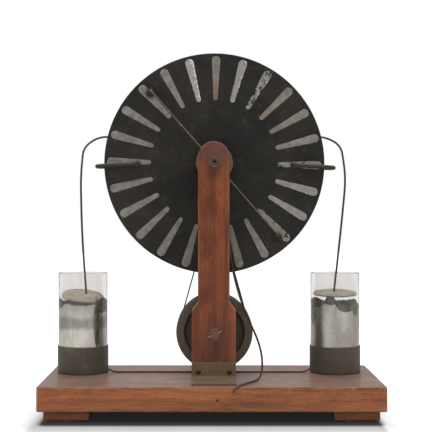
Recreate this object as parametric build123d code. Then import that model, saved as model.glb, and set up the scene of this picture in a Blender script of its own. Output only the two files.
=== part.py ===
from build123d import *
import os
from math import asin, cos, pi, radians, sin, tan

# A wimshurst machine: two counter-turning plates on one axle between two wooden
# uprights, driven by belts from a cranked wheel shaft, with a leyden jar at each end.
# Millimetres. X runs along the base, Y from front to back, Z up from the table.

# ---- clearances ------------------------------------------------------------
running_gap = 0.3            # between faces that pass each other
shaft_clearance = 0.05       # radial, a shaft in its bearing
seat_clearance = 0.05        # radial, a pressed or glued piece in its seat
loose_clearance = 0.3        # radial, a jar in its cup or a lid in its jar

# ---- base and feet ---------------------------------------------------------
base_width = 446.5
base_depth = 205.0
base_thickness = 32.0
base_edge_round = 1.6
foot_width = 60.0
foot_depth = 50.0
foot_height = 10.8
foot_inset_x = 8.6
foot_inset_y = 6.0
foot_end_slope = 3.0
pad_width = 43.0
pad_depth = 40.0
pad_thickness = 3.2

# ---- uprights --------------------------------------------------------------
upright_x = 3.0              # the uprights stand a little right of the middle
upright_thickness = 20.0
upright_width = 42.0
upright_foot_width = 58.8
shoulder_low = 91.5          # above the base
shoulder_rise = 11.3
arch_rise = 15.6
front_top_above_axis = 27.5
rear_top_above_axis = 64.0
upright_edge_round = 1.2

# ---- axle, plates and bosses -----------------------------------------------
axis_x = 4.0
axis_height = 288.8          # above the base
plates_y = 11.0              # middle of the gap between the plates
axle_radius = 4.0
axle_front_reach = 4.2       # past the front upright
axle_rear_reach = 11.0       # past the rear upright
axle_centre_hole_radius = 1.0
axle_centre_hole_depth = 6.0
axle_centre_cone_radius = 2.4
plate_radius = 150.5
plate_thickness = 3.0
plate_gap = 6.0
boss_flange_radius = 25.0
boss_inner_flange = 5.5
boss_groove_width = 7.5
boss_outer_flange = 4.4
boss_groove_radius = 12.0
boss_groove_floor_share = 0.66
boss_bush_radius = 6.0
boss_screw_count = 3
boss_screw_radius = 1.2
boss_screw_head_radius = 2.4
boss_screw_length = 7.0
boss_screw_circle = 18.0
spacer_radius = 8.0
bush_wall = 3.0
front_bush_flange_radius = 7.7
front_bush_flange = 3.0
rear_bush_flange = 2.0
axle_nut_across_flats = 13.0
axle_nut_thickness = 6.0

# ---- tinfoil sectors -------------------------------------------------------
sector_count = 24
sector_inner_share = 0.575   # of the plate's radius
sector_outer_share = 0.974
sector_outer_width = 12.1
sector_inner_width = 5.7
sector_thickness = 0.15
top_sector_angle = 89.0

# ---- neutralisers ----------------------------------------------------------
neutraliser_collar_radius = 7.5
neutraliser_collar_length = 6.0
neutraliser_rod_radius = 1.0
neutraliser_rod_seat = 2.0
neutraliser_reach = 131.0
neutraliser_bend = 5.0
neutraliser_angle = 131.4    # of the front rod, from +X towards +Z
brush_radius = 3.6
brush_tip_radius = 5.2
brush_length = 7.0
brush_gap = 0.6              # from the sectors

# ---- collectors and cross-bar ----------------------------------------------
collector_x = 5.5            # middle between the two collectors
left_collector_drop = 4.0    # of the fork's outer end, below the axis
right_collector_drop = 6.0
left_collector_rise = 2.6    # of its arms, from the outer end to the ball
right_collector_rise = 3.2
collector_rod_radius = 2.8
collector_outer = 161.8
collector_inner = 106.3
collector_side = 16.0        # each arm's distance from the middle of the plates
collector_bend = 13.0
collector_stem_bend = 8.0
collector_ball_radius = 4.9
comb_pitch = 9.0
comb_first = 9.0
comb_root_radius = 0.7
comb_tip_radius = 0.2
comb_gap = 1.3               # from the sectors
bar_above_axis = 42.0
bar_length = 250.0
bar_height = 18.0
bar_thickness = 12.0
bar_edge_round = 1.5
bar_screw_spread = 12.0
bar_screw_radius = 2.0
bar_screw_head_radius = 4.2
bar_screw_head = 2.6
bar_screw_depth = 14.0       # into the upright
terminal_radius = 6.0
terminal_length = 22.0
terminal_wire_offset = 14.0  # the wire's distance behind the bar
terminal_stem_depth = 8.0
terminal_dome = 2.0

# ---- discharge balls and jar wires -----------------------------------------
wire_radius = 1.45
spark_gap = 24.0
spark_ball_radius = 7.0
wire_ball_depth = 5.0

# Corners of each jar wire: sideways and back from the jar's middle, down from the bar.
left_wire_bends = [(16, 53, 0), (-4, 40, 16), (-5.5, 18, 60), (-2, 4, 140)]
right_wire_bends = [(-7.5, 53, 0), (13.5, 40, 13.5), (18, 21, 59.5), (10, 8, 126.5)]
left_wire_foot_shift = 12.0
right_wire_foot_shift = -12.9

# ---- leyden jars -----------------------------------------------------------
left_jar_x = -178.5
right_jar_x = 172.0
jar_y = 34.0
glass_radius = 34.0
glass_height = 137.5
glass_wall = 2.5
glass_bottom = 4.0
glass_rim_round = 0.9
cup_wall = 1.0
cup_height = 37.5
cup_bottom = 1.0
foil_thickness = 0.2
foil_top = 103.0             # above the base
left_lid_height = 104.6      # the lids' middles, above the base
right_lid_height = 108.8
lid_thickness = 2.6
left_lid_side_tilt = 6.0     # the left lid has slipped, its right side down
left_lid_front_tilt = 11.0   # and its front down
right_lid_side_tilt = 0.0
right_lid_front_tilt = 3.6
wire_foot_gap = 0.3          # above the foil on the jar's floor

# ---- outer-coat wire on the base -------------------------------------------
coat_wire_radius = 1.0
coat_wire_offset = 7.0       # in front of the jars' middles
coat_wire_end_height = 4.0
coat_wire_end_run = 7.0

# ---- drive shaft, wheels and crank -----------------------------------------
drive_height = 60.0          # above the base
drive_radius = 4.0
drive_front_reach = 4.5
wheel_radius = 51.7
wheel_thickness = 12.0
wheel_groove_width = 6.4
wheel_groove_radius = 47.0
wheel_groove_floor_share = 0.8
wheel_ring_inner = 40.6
wheel_web_recess = 4.0
wheel_hub_radius = 12.0
drive_spacer_radius = 8.0
washer_radius = 7.7
washer_thickness = 1.0
pin_radius = 0.7
pin_length = 21.0
pin_angle = 24.0
crank_clearance = 0.8        # from the rear bracket's screws
crank_radius = 44.0
crank_width = 13.0
crank_thickness = 5.0
crank_nut_across_flats = 11.0
crank_nut_thickness = 5.0
crank_pin_radius = 3.0
crank_pin_head_radius = 5.5
crank_pin_head = 2.0
grip_length = 44.0
grip_radius = 9.0
grip_neck_radius = 6.0
grip_swell_share = 0.62      # of the grip's length, from the crank

# ---- belt ------------------------------------------------------------------
belt_radius = 0.9
belt_crossing_offset = 1.2   # each strand's shift along Y where they cross
belt_wheel_points = 9
belt_boss_points = 7

# ---- brackets --------------------------------------------------------------
bracket_width = 58.0
bracket_height = 23.0
bracket_thickness = 2.5
front_flange_depth = 51.0
rear_flange_depth = 36.0
bracket_screw_spread = 20.6
bracket_leg_screw_height = 10.4
bracket_flange_screw_share = 0.72   # of the flange's depth
bracket_screw_radius = 1.8
bracket_screw_head_radius = 3.6
bracket_screw_head = 1.3
bracket_screw_length = 15.0

# ---- loose cord ------------------------------------------------------------
cord_radius = 1.5

# ---- places worked out from the sizes --------------------------------------
base_bottom = foot_height + pad_thickness
base_top = base_bottom + base_thickness
axis_z = base_top + axis_height
drive_z = base_top + drive_height
plate_inner = plate_gap / 2
plate_outer = plate_inner + plate_thickness
boss_length = boss_inner_flange + boss_groove_width + boss_outer_flange
boss_end = plate_outer + boss_length
collar_start = boss_end + running_gap
collar_end = collar_start + neutraliser_collar_length
upright_face = collar_end + running_gap
upright_back = upright_face + upright_thickness
groove_middle = plate_outer + boss_inner_flange + boss_groove_width / 2
rod_plane = (collar_start + collar_end) / 2
front_face_y = plates_y - upright_back
rear_back_y = plates_y + upright_back
wheel_front = groove_middle + wheel_thickness / 2
wheel_back = groove_middle - wheel_thickness / 2
bar_z = axis_z + bar_above_axis
bar_back_y = rear_back_y + bar_thickness
crank_front_y = rear_back_y + bracket_thickness + bracket_screw_head + crank_clearance
crank_back_y = crank_front_y + crank_thickness
grip_start_y = crank_back_y + running_gap
grip_end_y = grip_start_y + grip_length
pin_end_y = grip_end_y + running_gap + crank_pin_head
drive_end_y = crank_back_y + crank_nut_thickness
base_front_y = -base_depth / 2
sides = {"front": -1, "rear": 1}
ends = {"left": -1, "right": 1}
flange_depths = {"front": front_flange_depth, "rear": rear_flange_depth}
jar_places = {"left": left_jar_x, "right": right_jar_x}
collector_slants = {
    -1: (left_collector_drop, left_collector_rise),
    1: (right_collector_drop, right_collector_rise),
}
lid_heights = {"left": left_lid_height, "right": right_lid_height}
lid_tilts = {
    "left": (left_lid_side_tilt, left_lid_front_tilt),
    "right": (right_lid_side_tilt, right_lid_front_tilt),
}
wire_bends = {"left": left_wire_bends, "right": right_wire_bends}
wire_foot_shift = {"left": left_wire_foot_shift, "right": right_wire_foot_shift}
# The frame's origin is under the middle of the whole machine, on the table.
middle_y = (base_front_y + pin_end_y) / 2


def along_y(radius, y0, y1, x, z):
    """Round bar along Y."""
    return Pos(x, (y0 + y1) / 2, z) * Rot(90, 0, 0) * Cylinder(radius, y1 - y0)


def along_z(radius, z0, z1, x, y):
    """Round bar along Z."""
    return Pos(x, y, (z0 + z1) / 2) * Cylinder(radius, z1 - z0)


def ring_y(outer, inner, y0, y1, x, z):
    """Ring with a bore along Y."""
    return along_y(outer, y0, y1, x, z) - along_y(inner, y0, y1, x, z)


def side_y(side, distance):
    """Y of a place that lies a distance from the middle of the plates."""
    return plates_y + side * distance


def side_bar(side, radius, near, far, x, z):
    """Round bar along Y between two distances from the middle of the plates."""
    ends = sorted((side_y(side, near), side_y(side, far)))
    return along_y(radius, ends[0], ends[1], x, z)


def side_ring(side, outer, inner, near, far, x, z):
    """Ring along Y between two distances from the middle of the plates."""
    return side_bar(side, outer, near, far, x, z) - side_bar(side, inner, near, far, x, z)


def slab(face_sketch, y0, y1):
    """Thick plate: a sketch in X and Z between two places along Y."""
    return extrude(Plane.XZ.offset(-y1) * face_sketch, y1 - y0)


def turned_y(profile, x, y, z):
    """Solid turned about Y from (radius, Y) points."""
    face = make_face(Polyline(*profile, close=True))
    return Pos(x, y, z) * revolve(face, Axis.Y)


def rounded_runs(points):
    """Straight runs joined by arcs, each arc as large as its two runs allow."""
    corners = [Vector(*point) for point in points]
    radii = []
    for before, corner, after in zip(corners, corners[1:], corners[2:]):
        run_in = corner - before
        run_out = after - corner
        half_turn = radians(run_in.get_angle(run_out)) / 2
        radii.append(0.45 * min(run_in.length, run_out.length) / tan(half_turn))
    return FilletPolyline(*corners, radius=radii), radii


def swept_round(path, radius):
    """Round wire or cord along a path."""
    start = path @ 0
    return sweep(Plane(start, z_dir=path % 0) * Circle(radius), path=path)


def export(node, shape):
    """Write one node, with the machine's middle at the origin."""
    export_step(Pos(0, -middle_y, 0) * shape, f"parts/{node}.step")


def as_group(solids):
    """Several equal pieces as one node."""
    return Compound(list(solids))


# ---- base ------------------------------------------------------------------
def base_board():
    board = Pos(0, 0, base_bottom + base_thickness / 2) * Box(base_width, base_depth, base_thickness)
    board = fillet(board.edges(), base_edge_round)
    for name, side in sides.items():
        for x, y in flange_screw_places(side, flange_depths[name]):
            hole_depth = bracket_screw_length - bracket_thickness
            board -= along_z(bracket_screw_radius + seat_clearance, base_top - hole_depth, base_top, x, y)
    return board


def foot_places():
    x = base_width / 2 - foot_inset_x - foot_width / 2
    y = base_depth / 2 - foot_inset_y - foot_depth / 2
    return [(sx, sx * x, sy * y) for sx in (-1, 1) for sy in (-1, 1)]


def foot(side):
    outline = Polyline(
        (side * foot_width / 2, 0),
        (side * foot_width / 2, foot_height),
        (-side * foot_width / 2, foot_height),
        (-side * (foot_width / 2 - foot_end_slope), 0),
        close=True,
    )
    return slab(make_face(outline), -foot_depth / 2, foot_depth / 2)


def feet():
    return as_group(Pos(x, y, pad_thickness) * foot(side) for side, x, y in foot_places())


def foot_pads():
    shift = (foot_width - pad_width) / 2
    pad = Box(pad_width, pad_depth, pad_thickness)
    return as_group(
        Pos(x + side * shift, y, pad_thickness / 2) * pad for side, x, y in foot_places()
    )


# ---- uprights --------------------------------------------------------------
def upright(side, top_above_axis):
    half = upright_width / 2
    half_foot = upright_foot_width / 2
    shoulder_top = shoulder_low + shoulder_rise
    top = axis_height + top_above_axis
    outline = Polyline(
        (-half, top - arch_rise),
        (-half, shoulder_top),
        (-half_foot, shoulder_low),
        (-half_foot, 0),
        (half_foot, 0),
        (half_foot, shoulder_low),
        (half, shoulder_top),
        (half, top - arch_rise),
    )
    arch = ThreePointArc((half, top - arch_rise), (0, top), (-half, top - arch_rise))
    y0, y1 = sorted((side_y(side, upright_face), side_y(side, upright_back)))
    body = Pos(upright_x, 0, base_top) * slab(make_face(outline + arch), y0, y1)
    outer_face = body.faces().filter_by(Axis.Y).sort_by(Axis.Y)[0 if side < 0 else -1]
    upper_edges = [edge for edge in outer_face.edges() if edge.center().Z > base_top + 1]
    body = fillet(upper_edges, upright_edge_round)
    bush_hole = axle_radius + shaft_clearance + bush_wall + seat_clearance
    body -= along_y(bush_hole, y0, y1, axis_x, axis_z)
    body -= along_y(bush_hole, y0, y1, axis_x, drive_z)
    screw_hole = bracket_screw_radius + seat_clearance
    depth = bracket_screw_length - bracket_thickness
    for dx in (-bracket_screw_spread, bracket_screw_spread):
        body -= side_bar(side, screw_hole, upright_back - depth, upright_back,
                         upright_x + dx, base_top + bracket_leg_screw_height)
    return body


def front_upright():
    return upright(-1, front_top_above_axis)


def rear_upright():
    body = upright(1, rear_top_above_axis)
    for x in bar_screw_places():
        body -= along_y(bar_screw_radius + seat_clearance, rear_back_y - bar_screw_depth, rear_back_y, x, bar_z)
    return body


# ---- brackets --------------------------------------------------------------
def bracket_flange_screw_y(side, depth):
    return side_y(side, upright_back + depth * bracket_flange_screw_share)


def flange_screw_places(side, depth):
    y = bracket_flange_screw_y(side, depth)
    return [(upright_x + dx, y) for dx in (-bracket_screw_spread, bracket_screw_spread)]


def bracket(side, depth):
    start = side_y(side, upright_back)
    outline = Polyline(
        (start, base_top),
        (start + side * depth, base_top),
        (start + side * depth, base_top + bracket_thickness),
        (start + side * bracket_thickness, base_top + bracket_thickness),
        (start + side * bracket_thickness, base_top + bracket_height),
        (start, base_top + bracket_height),
        close=True,
    )
    face = Plane.YZ.offset(upright_x - bracket_width / 2) * make_face(outline)
    angle = extrude(face, bracket_width)
    hole = bracket_screw_radius + seat_clearance
    for x, y in flange_screw_places(side, depth):
        angle -= along_z(hole, base_top, base_top + bracket_thickness, x, y)
        angle -= side_bar(side, hole, upright_back, upright_back + bracket_thickness,
                          x, base_top + bracket_leg_screw_height)
    return angle


def domed_screw(head_radius, head_height, shank_radius, length):
    """Round-headed screw pointing down, the head's seat at the origin, with a slot."""
    profile = Polyline((0, -length), (shank_radius, -length), (shank_radius, 0), (head_radius, 0))
    dome = ThreePointArc((head_radius, 0), (head_radius * 0.7, head_height * 0.72), (0, head_height))
    axis_line = Line((0, head_height), (0, -length))
    body = revolve(Plane.XZ * make_face(profile + dome + axis_line), Axis.Z)
    slot_width = head_radius * 0.24
    return body - Pos(0, 0, head_height) * Box(2 * head_radius, slot_width, head_height)


def bracket_screws():
    screw = domed_screw(bracket_screw_head_radius, bracket_screw_head,
                        bracket_screw_radius, bracket_screw_length)
    solids = []
    for name, side in sides.items():
        leg_y = side_y(side, upright_back + bracket_thickness)
        for x, y in flange_screw_places(side, flange_depths[name]):
            solids.append(Pos(x, y, base_top + bracket_thickness) * screw)
            leg_place = Pos(x, leg_y, base_top + bracket_leg_screw_height)
            solids.append(leg_place * Rot(-90 * side, 0, 0) * screw)
    return as_group(solids)


# ---- main axle and its bushes ----------------------------------------------
def main_axle():
    y0 = front_face_y - axle_front_reach
    axle = along_y(axle_radius, y0, rear_back_y + axle_rear_reach, axis_x, axis_z)
    axle -= along_y(axle_centre_hole_radius, y0, y0 + axle_centre_hole_depth, axis_x, axis_z)
    cone_depth = axle_centre_cone_radius - axle_centre_hole_radius
    cone = Cone(axle_centre_hole_radius, axle_centre_cone_radius, cone_depth)
    return axle - Pos(axis_x, y0 + cone_depth / 2, axis_z) * Rot(90, 0, 0) * cone


def axle_bush(side, flange_radius, flange):
    """Flanged brass bush, its flange against the upright's outer face."""
    bore = axle_radius + shaft_clearance
    sleeve = side_ring(side, bore + bush_wall, bore, upright_face, upright_back, axis_x, axis_z)
    return sleeve + side_ring(side, flange_radius, bore, upright_back, upright_back + flange, axis_x, axis_z)


def front_axle_bush():
    bush = axle_bush(-1, front_bush_flange_radius, front_bush_flange)
    rim = bush.faces().sort_by(Axis.Y)[0].edges().sort_by(SortBy.LENGTH)[-1]
    return chamfer(rim, front_bush_flange * 0.4)


def axle_spacer():
    bore = axle_radius + shaft_clearance
    half = plate_gap / 2 - running_gap
    return ring_y(spacer_radius, bore, plates_y - half, plates_y + half, axis_x, axis_z)


def hex_nut(across_flats, bore, y0, thickness, x, z):
    flats = RegularPolygon(across_flats / 2, 6, major_radius=False)
    return Pos(x, 0, z) * slab(flats, y0, y0 + thickness) - along_y(bore, y0, y0 + thickness, x, z)


def axle_nut():
    return hex_nut(axle_nut_across_flats, axle_radius + seat_clearance,
                   rear_back_y + rear_bush_flange, axle_nut_thickness, axis_x, axis_z)


# ---- plates ----------------------------------------------------------------
def boss_screw_places():
    step = 2 * pi / boss_screw_count
    return [
        (axis_x + boss_screw_circle * cos(n * step), axis_z + boss_screw_circle * sin(n * step))
        for n in range(boss_screw_count)
    ]


def plate(side):
    disc = side_ring(side, plate_radius, boss_bush_radius + seat_clearance,
                     plate_inner, plate_outer, axis_x, axis_z)
    for x, z in boss_screw_places():
        disc -= side_bar(side, boss_screw_head_radius + seat_clearance, plate_inner, plate_outer, x, z)
    return disc


def boss(side):
    """Turned wooden boss with a belt groove between two flanges."""
    groove_start = boss_inner_flange
    groove_end = boss_inner_flange + boss_groove_width
    floor_inset = boss_groove_width * (1 - boss_groove_floor_share) / 2
    bore = boss_bush_radius + seat_clearance
    profile = [
        (bore, 0),
        (boss_flange_radius, 0),
        (boss_flange_radius, groove_start),
        (boss_groove_radius, groove_start + floor_inset),
        (boss_groove_radius, groove_end - floor_inset),
        (boss_flange_radius, groove_end),
        (boss_flange_radius, boss_length),
        (bore, boss_length),
    ]
    turned = turned_y([(r, side * y) for r, y in profile], axis_x, side_y(side, plate_outer), axis_z)
    depth = boss_screw_length - plate_thickness
    for x, z in boss_screw_places():
        turned -= side_bar(side, boss_screw_radius + seat_clearance, plate_outer, plate_outer + depth, x, z)
    return turned


def boss_bush(side):
    return side_ring(side, boss_bush_radius, axle_radius + shaft_clearance,
                     plate_inner, boss_end, axis_x, axis_z)


def boss_screws(side):
    """Flat-headed screws through the plate into the boss, heads flush with the plate."""
    shank_end = plate_inner + boss_screw_length
    return as_group(
        side_bar(side, boss_screw_head_radius, plate_inner, plate_outer, x, z)
        + side_bar(side, boss_screw_radius, plate_outer, shank_end, x, z)
        for x, z in boss_screw_places()
    )


def sector_outline():
    """Tapered strip with round ends, pointing along +X from the axis."""
    outer_radius = sector_outer_width / 2
    inner_radius = sector_inner_width / 2
    outer_middle = plate_radius * sector_outer_share - outer_radius
    inner_middle = plate_radius * sector_inner_share + inner_radius
    lean = asin((outer_radius - inner_radius) / (outer_middle - inner_middle))
    top_outer = (outer_middle - outer_radius * sin(lean), outer_radius * cos(lean))
    top_inner = (inner_middle - inner_radius * sin(lean), inner_radius * cos(lean))
    low_outer = (top_outer[0], -top_outer[1])
    low_inner = (top_inner[0], -top_inner[1])
    edges = [
        Line(top_inner, top_outer),
        ThreePointArc(top_outer, (outer_middle + outer_radius, 0), low_outer),
        Line(low_outer, low_inner),
        ThreePointArc(low_inner, (inner_middle - inner_radius, 0), top_inner),
    ]
    return make_face(edges)


def sectors(side):
    y0, y1 = sorted((side_y(side, plate_outer), side_y(side, plate_outer + sector_thickness)))
    strip = slab(sector_outline(), y0, y1)
    pitch = 360 / sector_count
    return as_group(
        Pos(axis_x, 0, axis_z) * Rot(0, -(top_sector_angle + n * pitch), 0) * strip
        for n in range(sector_count)
    )


# ---- neutralisers ----------------------------------------------------------
def neutraliser_turn(side):
    """Angle of a rod from +X towards +Z; the rear rod leans the other way."""
    return neutraliser_angle if side < 0 else 180 - neutraliser_angle


def neutraliser_place(side, half):
    return Pos(axis_x, 0, axis_z) * Rot(0, -(neutraliser_turn(side) + 180 * half), 0)


def neutraliser_collar(side):
    bore = axle_radius + shaft_clearance
    collar = side_ring(side, neutraliser_collar_radius, bore, collar_start, collar_end, axis_x, axis_z)
    seat_start = neutraliser_collar_radius - neutraliser_rod_seat
    hole = Pos(seat_start + neutraliser_rod_seat, side_y(side, rod_plane), 0) * Rot(0, 90, 0) * Cylinder(
        neutraliser_rod_radius + seat_clearance, 2 * neutraliser_rod_seat)
    for half in (0, 1):
        collar -= neutraliser_place(side, half) * hole
    return collar


def brush_start():
    """Distance from the middle of the plates at which a brush leaves its rod."""
    return plate_outer + sector_thickness + brush_gap + brush_length


def neutraliser_rod(side):
    """Two arms, each running out from the collar and bent in towards the plate."""
    level = side_y(side, rod_plane)
    path = FilletPolyline(
        (neutraliser_collar_radius - neutraliser_rod_seat, level, 0),
        (neutraliser_reach, level, 0),
        (neutraliser_reach, side_y(side, brush_start()), 0),
        radius=neutraliser_bend,
    )
    arm = swept_round(path, neutraliser_rod_radius)
    return as_group(neutraliser_place(side, half) * arm for half in (0, 1))


def neutraliser_brushes(side):
    """Tinsel brushes, widening towards the sectors."""
    start = brush_start()
    profile = [
        (0, 0),
        (brush_radius, 0),
        (brush_tip_radius, side * -brush_length),
        (0, side * -brush_length),
    ]
    brush = turned_y(profile, neutraliser_reach, side_y(side, start), 0)
    return as_group(neutraliser_place(side, half) * brush for half in (0, 1))


# ---- cross-bar, terminals and collectors -----------------------------------
def bar_screw_places():
    return [upright_x - bar_screw_spread, upright_x + bar_screw_spread]


def collector_inner_x(end):
    return collector_x + end * collector_inner


def collector_z(end, x):
    """Height of a fork's arms at x: they slant up towards the middle."""
    drop, rise = collector_slants[end]
    share = (collector_outer - end * (x - collector_x)) / (collector_outer - collector_inner)
    return axis_z - drop + rise * share


def cross_bar():
    """Insulating bar behind the rear upright."""
    bar = Pos(collector_x, rear_back_y + bar_thickness / 2, bar_z) * Box(bar_length, bar_thickness, bar_height)
    bar = fillet(bar.edges(), bar_edge_round)
    for x in bar_screw_places():
        bar -= along_y(bar_screw_radius + seat_clearance, rear_back_y, bar_back_y, x, bar_z)
    for end in (-1, 1):
        bar -= along_y(collector_rod_radius + seat_clearance, rear_back_y, bar_back_y,
                       collector_inner_x(end), bar_z)
    return bar


def bar_screws():
    screw = domed_screw(bar_screw_head_radius, bar_screw_head, bar_screw_radius,
                        bar_thickness + bar_screw_depth)
    return as_group(Pos(x, bar_back_y, bar_z) * Rot(-90, 0, 0) * screw for x in bar_screw_places())


def collector(end):
    """One bent rod: a fork round both plates, then up and back to the cross-bar."""
    x_in = collector_inner_x(end)
    x_out = collector_x + end * collector_outer
    z_in = collector_z(end, x_in)
    z_out = collector_z(end, x_out)
    front = side_y(-1, collector_side)
    rear = side_y(1, collector_side)
    path = FilletPolyline(
        (x_in, front, z_in),
        (x_out, front, z_out),
        (x_out, rear, z_out),
        (x_in, rear, z_in),
        (x_in, rear, bar_z),
        (x_in, bar_back_y + terminal_stem_depth, bar_z),
        radius=[collector_bend, collector_bend, collector_stem_bend, collector_stem_bend],
    )
    rod = swept_round(path, collector_rod_radius)
    return rod + Pos(x_in, front, z_in) * Sphere(collector_ball_radius)


def comb_places(end):
    """X of each point: at even steps along the straight run of an arm."""
    run = collector_outer - collector_bend - collector_inner - comb_first
    count = int(run / comb_pitch) + 1
    return [collector_inner_x(end) + end * (comb_first + n * comb_pitch) for n in range(count)]


def collector_points():
    """Pointed combs on every arm of the two forks, reaching towards the plates."""
    start = collector_side - collector_rod_radius
    length = start - (plate_outer + sector_thickness + comb_gap)
    for side in (-1, 1):
        profile = [
            (0, 0),
            (comb_root_radius, 0),
            (comb_tip_radius, side * -length),
            (0, side * -length),
        ]
        for end in (-1, 1):
            for x in comb_places(end):
                yield turned_y(profile, x, side_y(side, start), collector_z(end, x))


def terminal(end):
    """Turned post that clamps a collector behind the bar and holds a jar wire."""
    x = collector_inner_x(end)
    profile = [
        (0, 0),
        (terminal_radius, 0),
        (terminal_radius, terminal_length - terminal_dome),
        (terminal_radius - terminal_dome, terminal_length),
        (0, terminal_length),
    ]
    post = turned_y(profile, x, bar_back_y, bar_z)
    post -= along_y(collector_rod_radius + seat_clearance, bar_back_y,
                    bar_back_y + terminal_stem_depth, x, bar_z)
    cross_hole = Rot(0, 90, 0) * Cylinder(wire_radius + seat_clearance, 2 * terminal_radius)
    return post - Pos(x, wire_y(), bar_z) * cross_hole


# ---- jar wires and discharge balls -----------------------------------------
def wire_y():
    return bar_back_y + terminal_wire_offset


def ball_x(end):
    return collector_x + end * (spark_gap / 2 + spark_ball_radius)


def discharge_ball(end):
    """Turned ball with a flat-bottomed socket for its wire, facing outwards."""
    socket = wire_radius + seat_clearance
    mouth = (spark_ball_radius ** 2 - socket ** 2) ** 0.5
    floor = spark_ball_radius - wire_ball_depth
    outline = [
        ThreePointArc((-spark_ball_radius, 0), (0, spark_ball_radius), (mouth, socket)),
        Polyline((mouth, socket), (floor, socket), (floor, 0), (-spark_ball_radius, 0)),
    ]
    ball = revolve(make_face(outline), Axis.X)
    return Pos(ball_x(end), wire_y(), bar_z) * Rot(0, 0, 0 if end > 0 else 180) * ball


def jar_floor():
    return base_top + cup_bottom + glass_bottom + foil_thickness


def jar_wire_path(name):
    """Bent wire from its discharge ball along the bar, round and down into its jar."""
    end, jar_x = ends[name], jar_places[name]
    start = (ball_x(end) + end * (spark_ball_radius - wire_ball_depth), wire_y(), bar_z)
    bends = [(jar_x + dx, jar_y + dy, bar_z - drop) for dx, dy, drop in wire_bends[name]]
    foot = (jar_x + wire_foot_shift[name], jar_y, jar_floor() + wire_foot_gap)
    return rounded_runs([start] + bends + [foot])[0]


# ---- leyden jars -----------------------------------------------------------
def tube_cup(outer, wall, floor, z0, z1, x):
    """Round open cup."""
    return along_z(outer, z0, z1, x, jar_y) - along_z(outer - wall, z0 + floor, z1, x, jar_y)


def jar_cup(x):
    outer = glass_radius + loose_clearance + cup_wall
    return tube_cup(outer, cup_wall, cup_bottom, base_top, base_top + cup_height, x)


def jar_glass(x):
    z0 = base_top + cup_bottom
    glass = tube_cup(glass_radius, glass_wall, glass_bottom, z0, z0 + glass_height, x)
    return fillet(glass.faces().sort_by(Axis.Z)[-1].edges(), glass_rim_round)


def jar_foil(x):
    z0 = base_top + cup_bottom + glass_bottom
    outer = glass_radius - glass_wall - seat_clearance
    return tube_cup(outer, foil_thickness, foil_thickness, z0, base_top + foil_top, x)


def jar_lid(name):
    """Disc inside the jar, with a hole for the wire."""
    side_tilt, front_tilt = lid_tilts[name]
    across = glass_radius - glass_wall - loose_clearance
    # a tilted lid is a little smaller, so that its edges stay inside the glass
    lean = (side_tilt ** 2 + front_tilt ** 2) ** 0.5
    radius = across - lid_thickness / 2 * sin(radians(lean))
    place = Pos(jar_places[name], jar_y, base_top + lid_heights[name])
    lid = place * Rot(front_tilt, side_tilt, 0) * Cylinder(radius, lid_thickness)
    return lid - swept_round(jar_wire_path(name), wire_radius + loose_clearance)


def outer_coat_wire():
    """Wire on the base from one jar's cup to the other, bent up at each end."""
    y = jar_y - coat_wire_offset
    cup_outer = glass_radius + loose_clearance + cup_wall
    low = base_top + coat_wire_radius + seat_clearance
    # the ends stop against the cups' walls
    reach = (cup_outer ** 2 - coat_wire_offset ** 2) ** 0.5 + running_gap + coat_wire_radius
    x0 = left_jar_x + reach
    x1 = right_jar_x - reach
    path, _ = rounded_runs([
        (x0, y, low + coat_wire_end_height),
        (x0 + coat_wire_end_run, y, low),
        (x1 - coat_wire_end_run, y, low),
        (x1, y, low + coat_wire_end_height),
    ])
    return swept_round(path, coat_wire_radius)


# ---- drive shaft, wheels, crank --------------------------------------------
def drive_bush(side):
    bore = drive_radius + shaft_clearance
    outer = axle_radius + shaft_clearance + bush_wall
    return side_ring(side, outer, bore, upright_face, upright_back, axis_x, drive_z)


def drive_axle():
    y0 = front_face_y - drive_front_reach
    axle = along_y(drive_radius, y0, drive_end_y, axis_x, drive_z)
    return axle - pin_shape(pin_radius + seat_clearance)


def pin_shape(radius):
    y = front_face_y - washer_thickness - (drive_front_reach - washer_thickness) / 2
    pin = Rot(0, 90, 0) * Cylinder(radius, pin_length)
    return Pos(axis_x, y, drive_z) * Rot(0, -pin_angle, 0) * pin


def drive_washer(side):
    bore = drive_radius + loose_clearance
    return side_ring(side, washer_radius, bore, upright_back, upright_back + washer_thickness,
                     axis_x, drive_z)


def drive_wheel(side):
    """Grooved wheel with a flat ring at its rim and a recessed web."""
    half = wheel_thickness / 2
    groove = wheel_groove_width / 2
    web = half - wheel_web_recess
    bore = drive_radius + seat_clearance
    upper = [
        (bore, half),
        (wheel_hub_radius, half),
        (wheel_hub_radius, web),
        (wheel_ring_inner, web),
        (wheel_ring_inner, half),
        (wheel_radius, half),
        (wheel_radius, groove),
        (wheel_groove_radius, groove * wheel_groove_floor_share),
    ]
    profile = upper + [(r, -y) for r, y in reversed(upper)]
    return turned_y(profile, axis_x, side_y(side, groove_middle), drive_z)


def drive_spacers():
    """Collars on the shaft: between the wheels, out to each upright and behind the crank."""
    bore = drive_radius + seat_clearance
    spans = [(-wheel_back, wheel_back)]
    spans.append((-(upright_face - running_gap), -wheel_front))
    spans.append((wheel_front, upright_face - running_gap))
    spans.append((upright_back + washer_thickness + running_gap, crank_front_y - plates_y))
    return as_group(
        ring_y(drive_spacer_radius, bore, plates_y + y0, plates_y + y1, axis_x, drive_z)
        for y0, y1 in spans
    )


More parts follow.
